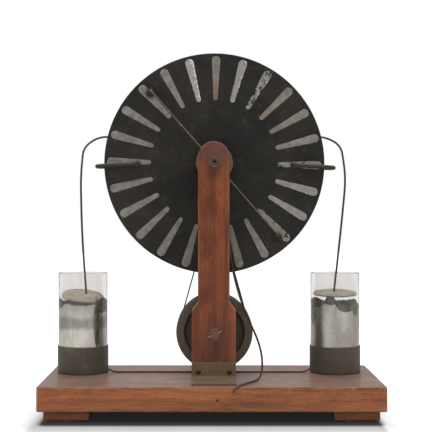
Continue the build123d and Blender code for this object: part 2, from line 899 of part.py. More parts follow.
def crank_arm():
    """Flat bar from the shaft down to the handle's pin, with round ends."""
    middle_z = drive_z - crank_radius / 2
    outline = Pos(axis_x, middle_z) * Rot(0, 0, 90) * SlotCenterToCenter(crank_radius, crank_width)
    arm = slab(outline, crank_front_y, crank_back_y)
    arm -= along_y(drive_radius + seat_clearance, crank_front_y, crank_back_y, axis_x, drive_z)
    return arm - along_y(crank_pin_radius + seat_clearance, crank_front_y, crank_back_y,
                         axis_x, drive_z - crank_radius)


def crank_nut():
    return hex_nut(crank_nut_across_flats, drive_radius + seat_clearance,
                   crank_back_y, crank_nut_thickness, axis_x, drive_z)


def crank_pin():
    z = drive_z - crank_radius
    shank = along_y(crank_pin_radius, crank_front_y, pin_end_y - crank_pin_head, axis_x, z)
    return shank + along_y(crank_pin_head_radius, pin_end_y - crank_pin_head, pin_end_y, axis_x, z)


def crank_grip():
    """Turned wooden handle that spins on the crank's pin."""
    swell = grip_length * grip_swell_share
    bore = crank_pin_radius + shaft_clearance
    side_curve = Spline(
        (grip_neck_radius, 0),
        (grip_neck_radius * 1.05, grip_length * 0.14),
        (grip_radius, swell),
        (grip_neck_radius, grip_length),
    )
    inside = Polyline((grip_neck_radius, grip_length), (bore, grip_length), (bore, 0), (grip_neck_radius, 0))
    turned = revolve(make_face(side_curve + inside), Axis.Y)
    return Pos(axis_x, grip_start_y, drive_z - crank_radius) * turned


# ---- crossed belt ----------------------------------------------------------
def belt_arc(radius, middle_z, start, turn, count, y_start, y_end):
    """Corners round a pulley; the belt drifts along Y as it goes round."""
    step = turn / count
    corner_radius = radius / cos(abs(step) / 2)
    corners = []
    for n in range(count):
        angle = start + (n + 0.5) * step
        share = (n + 0.5) / count
        corners.append((
            axis_x + corner_radius * cos(angle),
            y_start + (y_end - y_start) * share,
            middle_z + corner_radius * sin(angle),
        ))
    return corners


def crossed_belt():
    """Closed round belt from the rear wheel to the rear boss, crossed once."""
    wheel_line = wheel_groove_radius + running_gap + belt_radius
    boss_line = boss_groove_radius + running_gap + belt_radius
    distance = axis_z - drive_z
    lean = asin((wheel_line + boss_line) / distance)
    wrap = pi + 2 * lean
    middle = side_y(1, groove_middle)
    front = middle - belt_crossing_offset
    back = middle + belt_crossing_offset
    round_wheel = belt_arc(wheel_line, drive_z, pi - lean, wrap, belt_wheel_points, front, back)
    round_boss = belt_arc(boss_line, axis_z, pi + lean, -wrap, belt_boss_points, back, front)
    corners = [Vector(*point) for point in round_wheel + round_boss]
    half = len(round_wheel) // 2
    # the two halves meet in the middle of a run on the wheel and in one on the boss
    wheel_joint = (corners[half] + corners[half + 1]) / 2
    boss_middle = len(round_wheel) + len(round_boss) // 2
    boss_joint = (corners[boss_middle] + corners[boss_middle + 1]) / 2
    rising = [wheel_joint] + corners[half + 1:boss_middle + 1] + [boss_joint]
    falling = [boss_joint] + corners[boss_middle + 1:] + corners[:half + 1] + [wheel_joint]
    return belt_half(rising) + belt_half(falling)


def belt_half(corners):
    """Open stretch of belt through its corners, with arcs as large as the runs allow."""
    radii = []
    for before, corner, after in zip(corners, corners[1:], corners[2:]):
        run_in = corner - before
        run_out = after - corner
        # the end runs are half as long and have a single corner
        room = min(run_in.length * (0.98 if before is corners[0] else 0.49),
                   run_out.length * (0.98 if after is corners[-1] else 0.49))
        radii.append(room / tan(radians(run_in.get_angle(run_out)) / 2))
    return swept_round(FilletPolyline(*corners, radius=radii), belt_radius)


# ---- loose cord ------------------------------------------------------------
# The slack front drive cord hangs over the front boss, its short end behind the
# upright and its long end down past the front wheel to the base's front edge.
cord_points = [
    (-9.0, -4.5, 286.0),
    (-10.5, -4.2, 308.3),
    (-9.9, -4.2, 348.7),
    (17.9, -4.2, 348.7),
    (18.4, -4.2, 317.3),
    (20.2, -5.2, 276.0),
    (23.0, -7.0, 238.0),
    (26.0, -9.0, 207.0),
    (31.0, -11.0, 179.0),
    (39.8, -13.5, 148.0),
    (51.0, -15.5, 121.0),
    (61.5, -18.5, 99.0),
    (68.0, -23.0, 76.0),
    (67.5, -32.0, 55.5),
    (62.5, -50.0, 47.7),
    (51.5, -72.0, 48.1),
    (41.0, -92.0, 47.9),
    (33.5, -105.5, 48.4),
    (26.0, -109.5, 40.0),
]


def loose_cord():
    path, radii = rounded_runs(cord_points)
    tube = swept_round(path, cord_radius)
    print("loose_cord radii", [round(radius, 1) for radius in radii])
    print("loose_cord length", round(path.length, 1), "volume", round(tube.volume, 1),
          "section x length", round(pi * cord_radius ** 2 * path.length, 1))
    return tube


# ---- all nodes -------------------------------------------------------------
os.makedirs("parts", exist_ok=True)
export("base_board", base_board())
export("feet", feet())
export("foot_pads", foot_pads())
export("front_upright", front_upright())
export("rear_upright", rear_upright())
export("bracket_screws", bracket_screws())
export("main_axle", main_axle())
export("front_axle_bush", front_axle_bush())
export("rear_axle_bush", axle_bush(1, front_bush_flange_radius, rear_bush_flange))
export("axle_nut", axle_nut())
export("axle_spacer", axle_spacer())
export("cross_bar", cross_bar())
export("bar_screws", bar_screws())
export("collector_points", as_group(collector_points()))
export("terminals", as_group(terminal(end) for end in ends.values()))
export("discharge_balls", as_group(discharge_ball(end) for end in ends.values()))
export("outer_coat_wire", outer_coat_wire())
export("drive_bushes", as_group(drive_bush(side) for side in sides.values()))
export("drive_washers", as_group(drive_washer(side) for side in sides.values()))
export("drive_axle", drive_axle())
export("drive_pin", pin_shape(pin_radius))
export("drive_spacers", drive_spacers())
export("crank_arm", crank_arm())
export("crank_nut", crank_nut())
export("crank_pin", crank_pin())
export("crank_grip", crank_grip())
export("crossed_belt", crossed_belt())
export("loose_cord", loose_cord())
for name, side in sides.items():
    export(f"{name}_bracket", bracket(side, flange_depths[name]))
    export(f"{name}_drive_wheel", drive_wheel(side))
    export(f"{name}_plate", plate(side))
    export(f"{name}_sectors", sectors(side))
    export(f"{name}_boss", boss(side))
    export(f"{name}_boss_bush", boss_bush(side))
    export(f"{name}_boss_screws", boss_screws(side))
    export(f"{name}_neutraliser_collar", neutraliser_collar(side))
    export(f"{name}_neutraliser_rod", neutraliser_rod(side))
    export(f"{name}_neutraliser_brushes", neutraliser_brushes(side))
for name, end in ends.items():
    export(f"{name}_collector", collector(end))
    export(f"{name}_jar_cup", jar_cup(jar_places[name]))
    export(f"{name}_jar_glass", jar_glass(jar_places[name]))
    export(f"{name}_jar_foil", jar_foil(jar_places[name]))
    export(f"{name}_jar_lid", jar_lid(name))
    export(f"{name}_jar_wire", swept_round(jar_wire_path(name), wire_radius))
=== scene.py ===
import math
import bmesh
import bpy
import numpy as np
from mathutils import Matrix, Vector


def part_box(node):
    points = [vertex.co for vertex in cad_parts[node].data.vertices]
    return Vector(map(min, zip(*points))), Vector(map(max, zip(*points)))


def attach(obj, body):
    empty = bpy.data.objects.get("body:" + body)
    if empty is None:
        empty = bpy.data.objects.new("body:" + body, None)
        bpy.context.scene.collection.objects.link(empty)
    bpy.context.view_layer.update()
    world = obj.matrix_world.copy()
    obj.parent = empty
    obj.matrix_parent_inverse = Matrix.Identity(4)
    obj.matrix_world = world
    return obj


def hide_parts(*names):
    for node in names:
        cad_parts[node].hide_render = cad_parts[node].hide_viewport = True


# A wimshurst machine on a pale floor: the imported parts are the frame, and each
# visible surface gets its finish here. Metres; X along the base, Y front to back, Z up.

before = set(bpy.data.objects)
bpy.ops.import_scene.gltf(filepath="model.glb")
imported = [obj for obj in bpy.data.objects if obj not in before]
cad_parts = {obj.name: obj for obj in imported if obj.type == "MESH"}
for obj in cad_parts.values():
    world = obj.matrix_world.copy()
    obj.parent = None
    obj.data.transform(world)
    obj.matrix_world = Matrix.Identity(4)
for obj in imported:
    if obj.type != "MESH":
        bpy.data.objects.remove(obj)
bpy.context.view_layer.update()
MM = 0.001
QUARTER = math.pi / 2


def corners(node):
    """Lowest and highest corner of a part's box and half its size, in millimetres."""
    low, high = (np.array(corner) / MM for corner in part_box(node))
    return low, high, (high - low) / 2


def middle(node):
    """Centre of a part's box, in metres."""
    low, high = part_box(node)
    return (low + high) / 2


def new_object(name, data):
    """Object in the scene that shows the given data."""
    made = bpy.data.objects.new(name, data)
    bpy.context.scene.collection.objects.link(made)
    return made


def oblong(left, low, right, high):
    """Corners of an oblong, anticlockwise."""
    return [(left, low), (right, low), (right, high), (left, high)]


# ---- places taken from the frame ----
BASE_LOW, BASE_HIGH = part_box("base_board")
BASE_TOP = BASE_HIGH.z
AXIS = middle("front_plate")
SHAFT = middle("front_drive_wheel")
# Each side's name and the way along Y that it looks. A pair (a, b)[::sign] is turned round in front.
SIDES = (("front", -1), ("rear", 1))

# ---- camera ----
# A level view from the front with a long lens.
CAMERA_DISTANCE = 1.395          # from the base's front face
CAMERA_HEIGHT = 0.219            # above the base's top
CAMERA_SIDE = -0.006
FOCAL_LENGTH = 91.67
SENSOR_WIDTH = 36.0
CAMERA_SHIFT = (0.0208, -0.0035)
CLIP_START = 0.05


def make_camera():
    data = bpy.data.cameras.new("camera")
    data.lens, data.sensor_width, data.clip_start = FOCAL_LENGTH, SENSOR_WIDTH, CLIP_START
    data.shift_x, data.shift_y = CAMERA_SHIFT
    camera = new_object("camera", data)
    camera.location = (CAMERA_SIDE, BASE_LOW.y - CAMERA_DISTANCE, BASE_TOP + CAMERA_HEIGHT)
    camera.rotation_euler = (QUARTER, 0, 0)
    bpy.context.scene.camera = camera
    bpy.context.scene.view_settings.view_transform = "Standard"


# ---- shader wiring ----
class Wire:
    """Output of a shader node. It takes part in sums: each sign adds a math node to its tree."""

    def __init__(self, socket):
        self.socket = socket
        self.tree = socket.id_data

    def __add__(self, other):
        return maths("ADD", self, other)

    def __sub__(self, other):
        return maths("SUBTRACT", self, other)

    def __rsub__(self, other):
        return maths("SUBTRACT", other, self)

    def __mul__(self, other):
        return maths("MULTIPLY", self, other)

    def __abs__(self):
        return maths("ABSOLUTE", self)


def colour(screen):
    """Linear shader colour for three numbers from 0 to 255, as they show on a screen."""
    shares = np.array(screen) / 255
    return (*np.where(shares <= 0.04045, shares / 12.92, ((shares + 0.055) / 1.055) ** 2.4).tolist(), 1.0)


def join(value, socket):
    """A wire is linked, and a plain value is set on the input. A colour of three numbers is a screen's."""
    if isinstance(value, Wire):
        value.tree.links.new(value.socket, socket)
    elif socket.type == "RGBA" and len(value) == 3:
        socket.default_value = colour(value)
    else:
        socket.default_value = value


def join_all(values, sockets):
    """Values by the sockets' names, with an underscore for a space."""
    for key, value in values.items():
        join(value, sockets[key.replace("_", " ")])


def put(tree, kind, settings=None, values=(), **inputs):
    """New node: settings are its own properties, values go on its first inputs in order, and inputs on
    those with the same name. Gives its outputs by number and by name."""
    made = tree.nodes.new(kind)
    for key, value in (settings or {}).items():
        setattr(made, key, value)
    for value, socket in zip(values, made.inputs):
        join(value, socket)
    join_all(inputs, made.inputs)
    return {key: Wire(socket) for number, socket in enumerate(made.outputs)
            for key in (number, socket.name)}


def maths(operation, *values, clamp=False):
    tree = next(value.tree for value in values if isinstance(value, Wire))
    return put(tree, "ShaderNodeMath", {"operation": operation, "use_clamp": clamp}, values)[0]


def mixed(kind, start, result, share, first, second):
    made = share.tree.nodes.new("ShaderNodeMix")
    made.data_type = kind
    for number, value in ((0, share), (start, first), (start + 1, second)):
        join(value, made.inputs[number])
    return Wire(made.outputs[result])


def blend(share, first, second):
    """Colour between two others, by a share from 0 to 1."""
    return mixed("RGBA", 6, 2, share, first, second)


def between(share, first, second):
    """Number between two others, by a share from 0 to 1."""
    return mixed("FLOAT", 2, 0, share, first, second)


def steps(value, low, high, start=0.0, end=1.0):
    """Smooth step from start to end while the value goes from low to high."""
    return put(value.tree, "ShaderNodeMapRange", {"interpolation_type": "SMOOTHSTEP"},
               (value, low, high, start, end))[0]


def noise(position, scale, detail, roughness, distortion=0.0):
    return put(position.tree, "ShaderNodeTexNoise", Vector=position, Scale=scale, Detail=detail,
               Roughness=roughness, Distortion=distortion)["Fac"]


def stretched(position, scale, turn=(0, 0, 0), shift=(0, 0, 0)):
    return put(position.tree, "ShaderNodeMapping", Vector=position, Scale=scale, Rotation=turn,
               Location=shift)[0]


def parts(vector):
    """X, Y and Z of a vector."""
    return put(vector.tree, "ShaderNodeSeparateXYZ", Vector=vector)


def distance(position, centre, scale=(1, 0, 1)):
    """Distance from a place in metres, each axis weighed by the scale; (1, 0, 1) gives it from an axle."""
    shift = [-part * share for part, share in zip(centre, scale)]
    return put(position.tree, "ShaderNodeVectorMath", {"operation": "LENGTH"},
               [stretched(position, scale, shift=shift)])["Value"]


def fact(position, name):
    """Value that a mesh stores for each of its points."""
    return put(position.tree, "ShaderNodeAttribute", {"attribute_name": name})["Fac"]


def new_group(name, inputs, outputs):
    """Shader node group; each socket is a word such as Light:Color. Gives its inputs in order as wires,
    and its outputs."""
    tree = bpy.data.node_groups.new(name, "ShaderNodeTree")
    for side, words in (("INPUT", inputs), ("OUTPUT", outputs)):
        for title, kind in (word.split(":") for word in words.split()):
            tree.interface.new_socket(title, in_out=side, socket_type="NodeSocket" + kind)
    given = [Wire(socket) for socket in tree.nodes.new("NodeGroupInput").outputs if socket.name]
    return given, tree.nodes.new("NodeGroupOutput").inputs


def use(group, **inputs):
    """A shared group's outputs, with these values on its inputs."""
    settings = {"node_tree": bpy.data.node_groups[group]}
    return put(inputs["Position"].tree, "ShaderNodeGroup", settings, **inputs)


def new_material(name, **plain):
    """Material whose Principled shader has these plain values, and the wire of each point's place."""
    material = bpy.data.materials.new(name)
    material.use_nodes = True
    join_all(plain, material.node_tree.nodes["Principled BSDF"].inputs)
    return material, put(material.node_tree, "ShaderNodeTexCoord")["Object"]


def feed(material, bump=None, **wires):
    """Material with these wires into its shader. A bump is a height, the depth that it stands for in
    metres, and its strength."""
    if bump:
        height, depth, strength = bump
        wires["Normal"] = put(height.tree, "ShaderNodeBump", Height=height, Distance=depth,
                              Strength=strength)[0]
    join_all(wires, material.node_tree.nodes["Principled BSDF"].inputs)
    return material


# ---- shared effects ----
def make_wood_group():
    """Straight-grained wood along X: broad bands, fine fibres, dark pores, stains, and paler worn edges
    that also carry a painted highlight.
    """
    (position, light, dark, pore_tone, stain, edge, worn_highlight_tone), out = new_group(
        "wood grain", "Position:Vector Light:Color Dark:Color Pore:Color Stain:Float Edge:Float Worn:Color",
        "Color:Color Roughness:Float Height:Float")
    patterns = (
        ((2.6, 30, 30), 3, 0.6, 1.2), ((7, 130, 130), 3, 0.6, 0.5), ((22, 520, 520), 4, 0.65),
        ((120, 1300, 1300), 2, 0.5), ((10, 20, 20), 4, 0.6, 0.6), ((46, 330, 330), 3, 0.6, 0.4),
    )
    bands, streaks, fibres, pores, blotches, flecks = (
        noise(stretched(position, scale), 1.0, *pattern) for scale, *pattern in patterns)
    tone = steps(streaks * 0.40 + (fibres * 0.35 + bands * 0.45), 0.40, 0.80)
    wood = blend(tone, dark, light)
    wood = blend(steps(blotches, 0.46, 0.70) * stain, wood, pore_tone)
    pore = steps(pores, 0.56, 0.68) * 0.45
    nick = steps(flecks, 0.60, 0.72)
    wood = blend(maths("MAXIMUM", pore, nick * 0.28), wood, pore_tone)
    # Paler worn edges with a painted highlight on them.
    rubbed = edge * steps(flecks, 0.58, 0.40) * 0.65
    join_all({"Color": blend(rubbed, wood, worn_highlight_tone), "Roughness": fibres * 0.18 + 0.30,
              "Height": fibres * 0.35 - pore - nick * 0.8}, out)


def make_tarnish_group():
    """Old metal: bare metal showing through a patina, darker specks, fine pits."""
    (position, metal, patina, spots, cover, scale), out = new_group(
        "tarnish", "Position:Vector Metal:Color Patina:Color Spots:Color Cover:Float Scale:Float",
        "Color:Color Roughness:Float Metallic:Float Height:Float")
    clouds, fine = noise(position, scale, 5, 0.62, 0.4), noise(position, scale * 9.0, 3, 0.6)
    edge = 1.05 - cover
    covered = steps(clouds, edge - 0.22, edge + 0.12)
    tone = blend(covered, metal, patina)
    join_all({"Color": blend(steps(fine, 0.60, 0.72) * 0.65, tone, spots),
              "Roughness": fine * 0.12 + between(covered, 0.34, 0.62),
              "Metallic": between(covered, 0.95, 0.45), "Height": fine * 0.4 + clouds}, out)


def make_dust_group():
    """Dust that lies on faces that look up, patchy, and thinly everywhere else."""
    (position, tone, roughness, dust, above, around_it), out = new_group(
        "dust", "Position:Vector Color:Color Roughness:Float Dust:Color Above:Float Around:Float",
        "Color:Color Roughness:Float")
    normal = put(position.tree, "ShaderNodeNewGeometry")["Normal"]
    cover = between(steps(parts(normal)["Z"], 0.25, 0.95), around_it, above)
    patches = steps(noise(position, 38.0, 5, 0.6), 0.2, 0.75, 0.35, 1.15)
    share = maths("MULTIPLY", cover, patches, clamp=True)
    join_all({"Color": blend(share, tone, dust), "Roughness": between(share, roughness, 0.85)}, out)


DUST = (150, 143, 134)
# Dark tone of painted shade in hollows and holes.
PAINTED_SHADE_TONE = (24, 19, 15)


def dusted(position, tone, roughness, above, around=0.01, tint=DUST):
    """Base colour and roughness under dust, by how much lies on faces that look up and on all others."""
    dust = use("dust", Position=position, Color=tone, Roughness=roughness, Dust=tint, Above=above,
               Around=around)
    return {"Base_Color": dust["Color"], "Roughness": dust["Roughness"]}


# ---- stage and light ----
BACKDROP_LIGHT = 1.0             # brightness of each side of the room, 1 being white
ROOM_LIGHT = 0.10
PANEL_LIGHT = 0.30
CEILING_LIGHT = 0.9
LIGHT_TARGET = (0, 0, 0.2)
LIGHTS = {                       # place, width, height and watts
    "overhead softbox": ((0.0, -0.25, 1.9), 1.9, 1.6, 22.0),
    "left softbox": ((-1.5, -1.6, 1.0), 1.0, 1.4, 9.0),
    "right softbox": ((1.6, -1.4, 1.1), 1.0, 1.4, 10.5),
}
FLOOR_REACH = 6.0                # half the floor's width
# The floor's glow by the distance from the shadow's edge: where each share of it starts and ends, in metres,
# and how bright it is there.
FLOOR_GLOW = ((0.009, 0.026, 0.014, 0.50), (0.016, 0.120, 0.0, 0.62))
FLOOR_TONES = ((0.08, 0.08, 0.08, 1), (0.80, 0.80, 0.80, 1))     # painted shadow's colour, and the colour out of it
SEEN_FLOOR_TONE = (0.035, 0.035, 0.035, 1)                       # behind the glow
# How fast the shadow's distance counts along X and Y, and how far inside the base's edge it starts.
SHADOW_REACH = ((0, 1.7, 0.014), (1, 1.0, -0.001))
# Beyond the base's ends the floor clears sooner: where that starts and ends, and how much it adds.
SHADOW_ENDS = ((BASE_LOW.x + 0.002, BASE_LOW.x - 0.011, 0.25),
               (BASE_HIGH.x - 0.012, BASE_HIGH.x - 0.004, 0.36))


def floor_material():
    """Pale floor that brightens to white away from the base, with a painted soft dark shadow under it: the
    floor's colour darkens and its glow fades near the base. The camera sees the floor by its own glow, which
    keeps the shadow's fading the same under any light."""
    material, position = new_material("pale floor", Roughness=0.9, Specular_IOR_Level=0.0,
                                      Emission_Color=(1, 1, 1, 1))
    place = parts(position)
    seen = put(position.tree, "ShaderNodeLightPath")["Is Camera Ray"]
    half, centre = (BASE_HIGH - BASE_LOW) / 2, (BASE_HIGH + BASE_LOW) / 2
    reach = []
    for axis, spread, inset in SHADOW_REACH:
        outside = maths("MAXIMUM", abs(place[axis] - centre[axis]) - (half[axis] - inset), 0.0) * spread
        reach.append(outside * outside)
    away = maths("SQRT", reach[0] + reach[1])
    glow = steps(away, *FLOOR_GLOW[0]) + steps(away, *FLOOR_GLOW[1])
    for start, end, extra in SHADOW_ENDS:
        glow = glow + steps(place["X"], start, end, 0.0, extra)
    # Painted shadow: the floor's colour darkens near the base.
    pale = blend(steps(away, 0.009, 0.058), *FLOOR_TONES)
    return feed(material, Emission_Strength=glow * seen, Base_Color=blend(seen, pale, SEEN_FLOOR_TONE))


def make_stage():
    """Pale floor, white backdrop behind and above, and a dimmer room on the camera's side."""
    floor = bpy.data.meshes.new("floor")
    outline = oblong(-FLOOR_REACH, -FLOOR_REACH, FLOOR_REACH, FLOOR_REACH)
    floor.from_pydata([(x, y, 0) for x, y in outline], [], [(0, 1, 2, 3)])
    new_object("floor", floor)
    floor.materials.append(floor_material())
    world = bpy.data.worlds.new("studio")
    bpy.context.scene.world = world
    world.use_nodes = True
    rays = put(world.node_tree, "ShaderNodeLightPath")
    way = parts(put(world.node_tree, "ShaderNodeTexCoord")["Generated"])
    behind = steps(way["Y"], -0.12, 0.10, ROOM_LIGHT, BACKDROP_LIGHT)
    above = steps(way["Z"], 0.35, 0.75, 0.0, CEILING_LIGHT)
    panel = steps(way["Y"], -0.62, -0.40, PANEL_LIGHT, 0.0)
    seen = maths("ADD", rays["Is Camera Ray"], rays["Is Transmission Ray"], clamp=True)
    join_all({"Strength": between(seen, maths("MAXIMUM", behind + panel, above), 1.0),
              "Color": (1, 1, 1, 1)}, world.node_tree.nodes["Background"].inputs)
    for name, (place, width, height, power) in LIGHTS.items():
        data = bpy.data.lights.new(name, "AREA")
        data.shape, data.size, data.size_y, data.energy = "RECTANGLE", width, height, power
        lamp = new_object(name, data)
        lamp.location = place
        lamp.rotation_euler = (Vector(LIGHT_TARGET) - Vector(place)).to_track_quat("-Z", "Y").to_euler()


# ---- finishes ----
GRAIN_TURNS = {"X": (0, 0, 0), "Y": (0, 0, QUARTER), "Z": (0, QUARTER, 0)}


def wood_material(name, light, dark, pore, worn, stain, grain, above, around, coat=0.1, coat_roughness=0.25,
                  marks=(), dust=DUST):
    """Varnished wood; grain is the axis that the fibres follow, and the worn colour gives the edges paler
    wear and a painted highlight. Each mark is a place in millimetres, a stretch along Z, a radius, a strength
    and a colour, and tints the wood round that place."""
    material, position = new_material(name, Specular_IOR_Level=0.18, Coat_Weight=coat,
                                      Coat_Roughness=coat_roughness)
    wood = use("wood grain", Position=stretched(position, (1, 1, 1), GRAIN_TURNS[grain]), Light=light,
               Dark=dark, Pore=pore, Stain=stain, Edge=fact(position, "edge"), Worn=worn)
    tone = wood["Color"]
    ragged = noise(stretched(position, (60, 60, 30)), 1.0, 4, 0.6)
    for place, stretch, radius, strength, tint in marks:
        uneven = ragged * (radius * MM * 0.9) + distance(position, Vector(place) * MM, (1, 1, stretch))
        tone = blend(steps(uneven, radius * MM * 1.55, radius * MM * 0.75, 0.0, strength), tone, tint)
    return feed(material, (wood["Height"], 0.00012, 0.7),
                **dusted(position, tone, wood["Roughness"], above, around, dust))


def metal_material(name, metal, patina, spots, cover, scale=60.0, above=0.3, painted_shade_radius=0.0):
    """Tarnished metal; round the drive shaft it may have painted shade inside the given radius, in metres,
    where the wheel's web lies recessed.
    """
    material, position = new_material(name, Specular_IOR_Level=0.3)
    tarnish = use("tarnish", Position=position, Metal=metal, Patina=patina, Spots=spots, Cover=cover,
                  Scale=scale)
    looks = dusted(position, tarnish["Color"], tarnish["Roughness"], above)
    if painted_shade_radius:
        # Painted shade over the wheel's recessed web.
        inside = steps(distance(position, SHAFT), painted_shade_radius + 0.001, painted_shade_radius, 0.0, 0.42)
        looks["Base_Color"] = blend(inside, looks["Base_Color"], PAINTED_SHADE_TONE)
    return feed(material, (tarnish["Height"], 0.00008, 0.5), Metallic=tarnish["Metallic"], **looks)


def axle_material():
    """Turned axle end: brass with painted shade over its drilled centre, in a paler cone, and a darker ring
    round it.
    """
    material, position = new_material("axle")
    tarnish = use("tarnish", Position=position, Metal=(124, 107, 80), Patina=(86, 72, 54),
                  Spots=(52, 42, 32), Cover=0.66, Scale=90.0)
    radius = distance(position, AXIS)
    ring = steps(radius, 0.0032, 0.0040) * steps(radius, 0.0052, 0.0044)
    # Painted shade over the drilled centre, and a darker ring round it.
    shade = maths("MAXIMUM", steps(radius, 0.0031, 0.0020), ring * 0.7)
    return feed(material, (tarnish["Height"], 0.00008, 0.5), Base_Color=blend(shade, tarnish["Color"], PAINTED_SHADE_TONE),
                Roughness=tarnish["Roughness"], Metallic=tarnish["Metallic"])


def ebonite_material():
    """Near-black hard rubber, browned and dusty in patches, with pale specks and faint turning marks."""
    material, position = new_material("ebonite", Specular_IOR_Level=0.14)
    clouds = noise(position, 13.0, 5, 0.62, 0.6)
    film = noise(position, 55.0, 5, 0.68, 0.4)
    fine = noise(position, 420.0, 3, 0.6)
    tone = blend(steps(clouds, 0.36, 0.68), (27, 27, 25), (41, 38, 33))
    tone = blend(steps(film, 0.50, 0.78) * 0.20, tone, (88, 82, 72))
    tone = blend(steps(fine, 0.64, 0.74) * 0.45, tone, (94, 84, 70))
    rings = put(position.tree, "ShaderNodeCombineXYZ", X=distance(position, AXIS) * 900.0)[0]
    return feed(material, (noise(rings, 1.0, 2, 0.5) * 0.35 + fine, 0.00004, 0.5),
                **dusted(position, tone, 0.42, 0.5, 0.012))


def sector_foil_material():
    """Grey tinfoil strips: each one is rubbed bright, browned or flaked away as its own values say."""
    material, position = new_material("sector foil")
    along, across, number, browned, bright, flaked = (
        fact(position, name) for name in ("along", "across", "number", "browned", "bright", "flaked"))
    offset = put(position.tree, "ShaderNodeCombineXYZ", Y=number * 0.31)[0]
    place = put(position.tree, "ShaderNodeVectorMath", {"operation": "ADD"}, (position, offset))[0]
    clouds = noise(place, 120.0, 4, 0.62)
    fine = noise(place, 700.0, 4, 0.65)
    patches = noise(place, 230.0, 4, 0.6, 0.6)
    tone = blend(steps(clouds, 0.3, 0.72), (94, 92, 83), (128, 126, 116))
    tone = blend(steps(fine, 0.55, 0.75) * 0.45, tone, (72, 70, 62))
    tone = blend(browned * steps(along, 0.72, 0.1) * steps(patches, 0.25, 0.6, 0.5, 1.0), tone, (112, 86, 66))
    tone = blend(bright * 0.8, tone, (154, 152, 143))
    rim = steps(across, 0.40, 1.0, 0.0, 0.22) + steps(along, 0.9, 1.0, 0.0, 0.12)
    rubbed = steps((rim + bright * 0.12) * steps(bright, 0.2, 0.7) + patches, 0.70, 0.80)
    lost = flaked * 0.24 + noise(place, 150.0, 5, 0.68, 0.8)
    return feed(material, (fine, 0.00006, 0.8), Base_Color=blend(rubbed, tone, (222, 220, 213)),
                Roughness=between(rubbed, 0.62, 0.38), Metallic=between(rubbed, 0.25, 0.75),
                Alpha=1.0 - steps(lost, 0.68, 0.70))


def jar_foil_material():
    """Bright tinfoil lining, softly blotched, with a dull zone high up. The left jar has a darker band
    round it, and the right one is duller all over."""
    material, position = new_material("jar foil", Metallic=0.92)
    streaks = noise(stretched(position, (42, 42, 12)), 1.0, 4, 0.6, 0.6)
    clouds = noise(position, 60.0, 5, 0.62, 0.5)
    fine = noise(stretched(position, (900, 900, 240)), 1.0, 3, 0.6)
    place = parts(position)
    height = clouds * 0.012 + (place["Z"] - (BASE_TOP + 0.006))
    upper = steps(height, 0.074, 0.096) * 0.30
    band = steps(height, 0.058, 0.066) * steps(height, 0.084, 0.074)
    band = band * steps(place["X"], 0.001, -0.001, 0.0, 0.58)
    band = maths("MAXIMUM", band, steps(place["X"], -0.001, 0.001, 0.0, 0.32))
    tone = blend(steps(fine * 0.3 + streaks * 0.7, 0.36, 0.66), (168, 163, 154), (216, 212, 202))
    return feed(material, (streaks * 0.8 + clouds, 0.0006, 0.22), Roughness=clouds * 0.2 + 0.22,
                Base_Color=blend(maths("MAXIMUM", upper, band), tone, (92, 86, 76)))


def dull_foil_material():
    """Dark loose tinfoil, corroded to olive grey."""
    material, position = new_material("dull foil", Metallic=0.3)
    clouds = noise(position, 110.0, 5, 0.62, 0.5)
    return feed(material, (clouds, 0.0003, 0.6), Roughness=between(clouds, 0.45, 0.65),
                Base_Color=blend(steps(clouds, 0.32, 0.7), (70, 69, 60), (120, 117, 106)))


def cord_material(name, dark, pale, low_tone=None):
    """Dark waxed cord with paler worn fibres; where it lies on the base it may turn to another colour."""
    material, position = new_material(name, Roughness=0.85, Specular_IOR_Level=0.15)
    fibres = noise(position, 900.0, 3, 0.7)
    tone = blend(steps(fibres, 0.35, 0.75), dark, pale)
    if low_tone:
        low = steps(parts(position)["Z"], BASE_TOP + 0.018, BASE_TOP + 0.004, 0.0, 0.75)
        tone = blend(low, tone, low_tone)
    return feed(material, (fibres, 0.0001, 0.6), Base_Color=tone)


def card_material(name, light, dark):
    """Matt pasteboard or felt, stained."""
    material, position = new_material(name, Roughness=0.85)
    clouds = noise(position, 90.0, 5, 0.65)
    return feed(material, (noise(position, 1500.0, 2, 0.6), 0.0001, 0.6),
                Base_Color=blend(steps(clouds, 0.3, 0.75), dark, light))


def glass_material():
    """Clear old glass with a faint film of dirt."""
    material, position = new_material("glass", Transmission_Weight=1.0, IOR=1.48, Metallic=0.0)
    film = noise(position, 55.0, 5, 0.65)
    tone = blend(steps(film, 0.35, 0.8), (0.92, 0.905, 0.895, 1), (0.86, 0.845, 0.825, 1))
    return feed(material, (noise(position, 24.0, 2, 0.5), 0.0003, 0.25), Base_Color=tone,
                Roughness=steps(film, 0.4, 0.85, 0.01, 0.12))


# Dark tone for stains on the uprights and for a painted shadow.
STAIN_AND_SHADOW_TONE = (46, 26, 24)
GREYED = (70, 56, 56)
BASE_FACE = float(corners("base_board")[0][1])
UPRIGHT_FACE = float(corners("front_upright")[0][1])
axis_x, axis_z = AXIS.x / MM, AXIS.z / MM
shaft_x, shaft_z = SHAFT.x / MM, SHAFT.z / MM
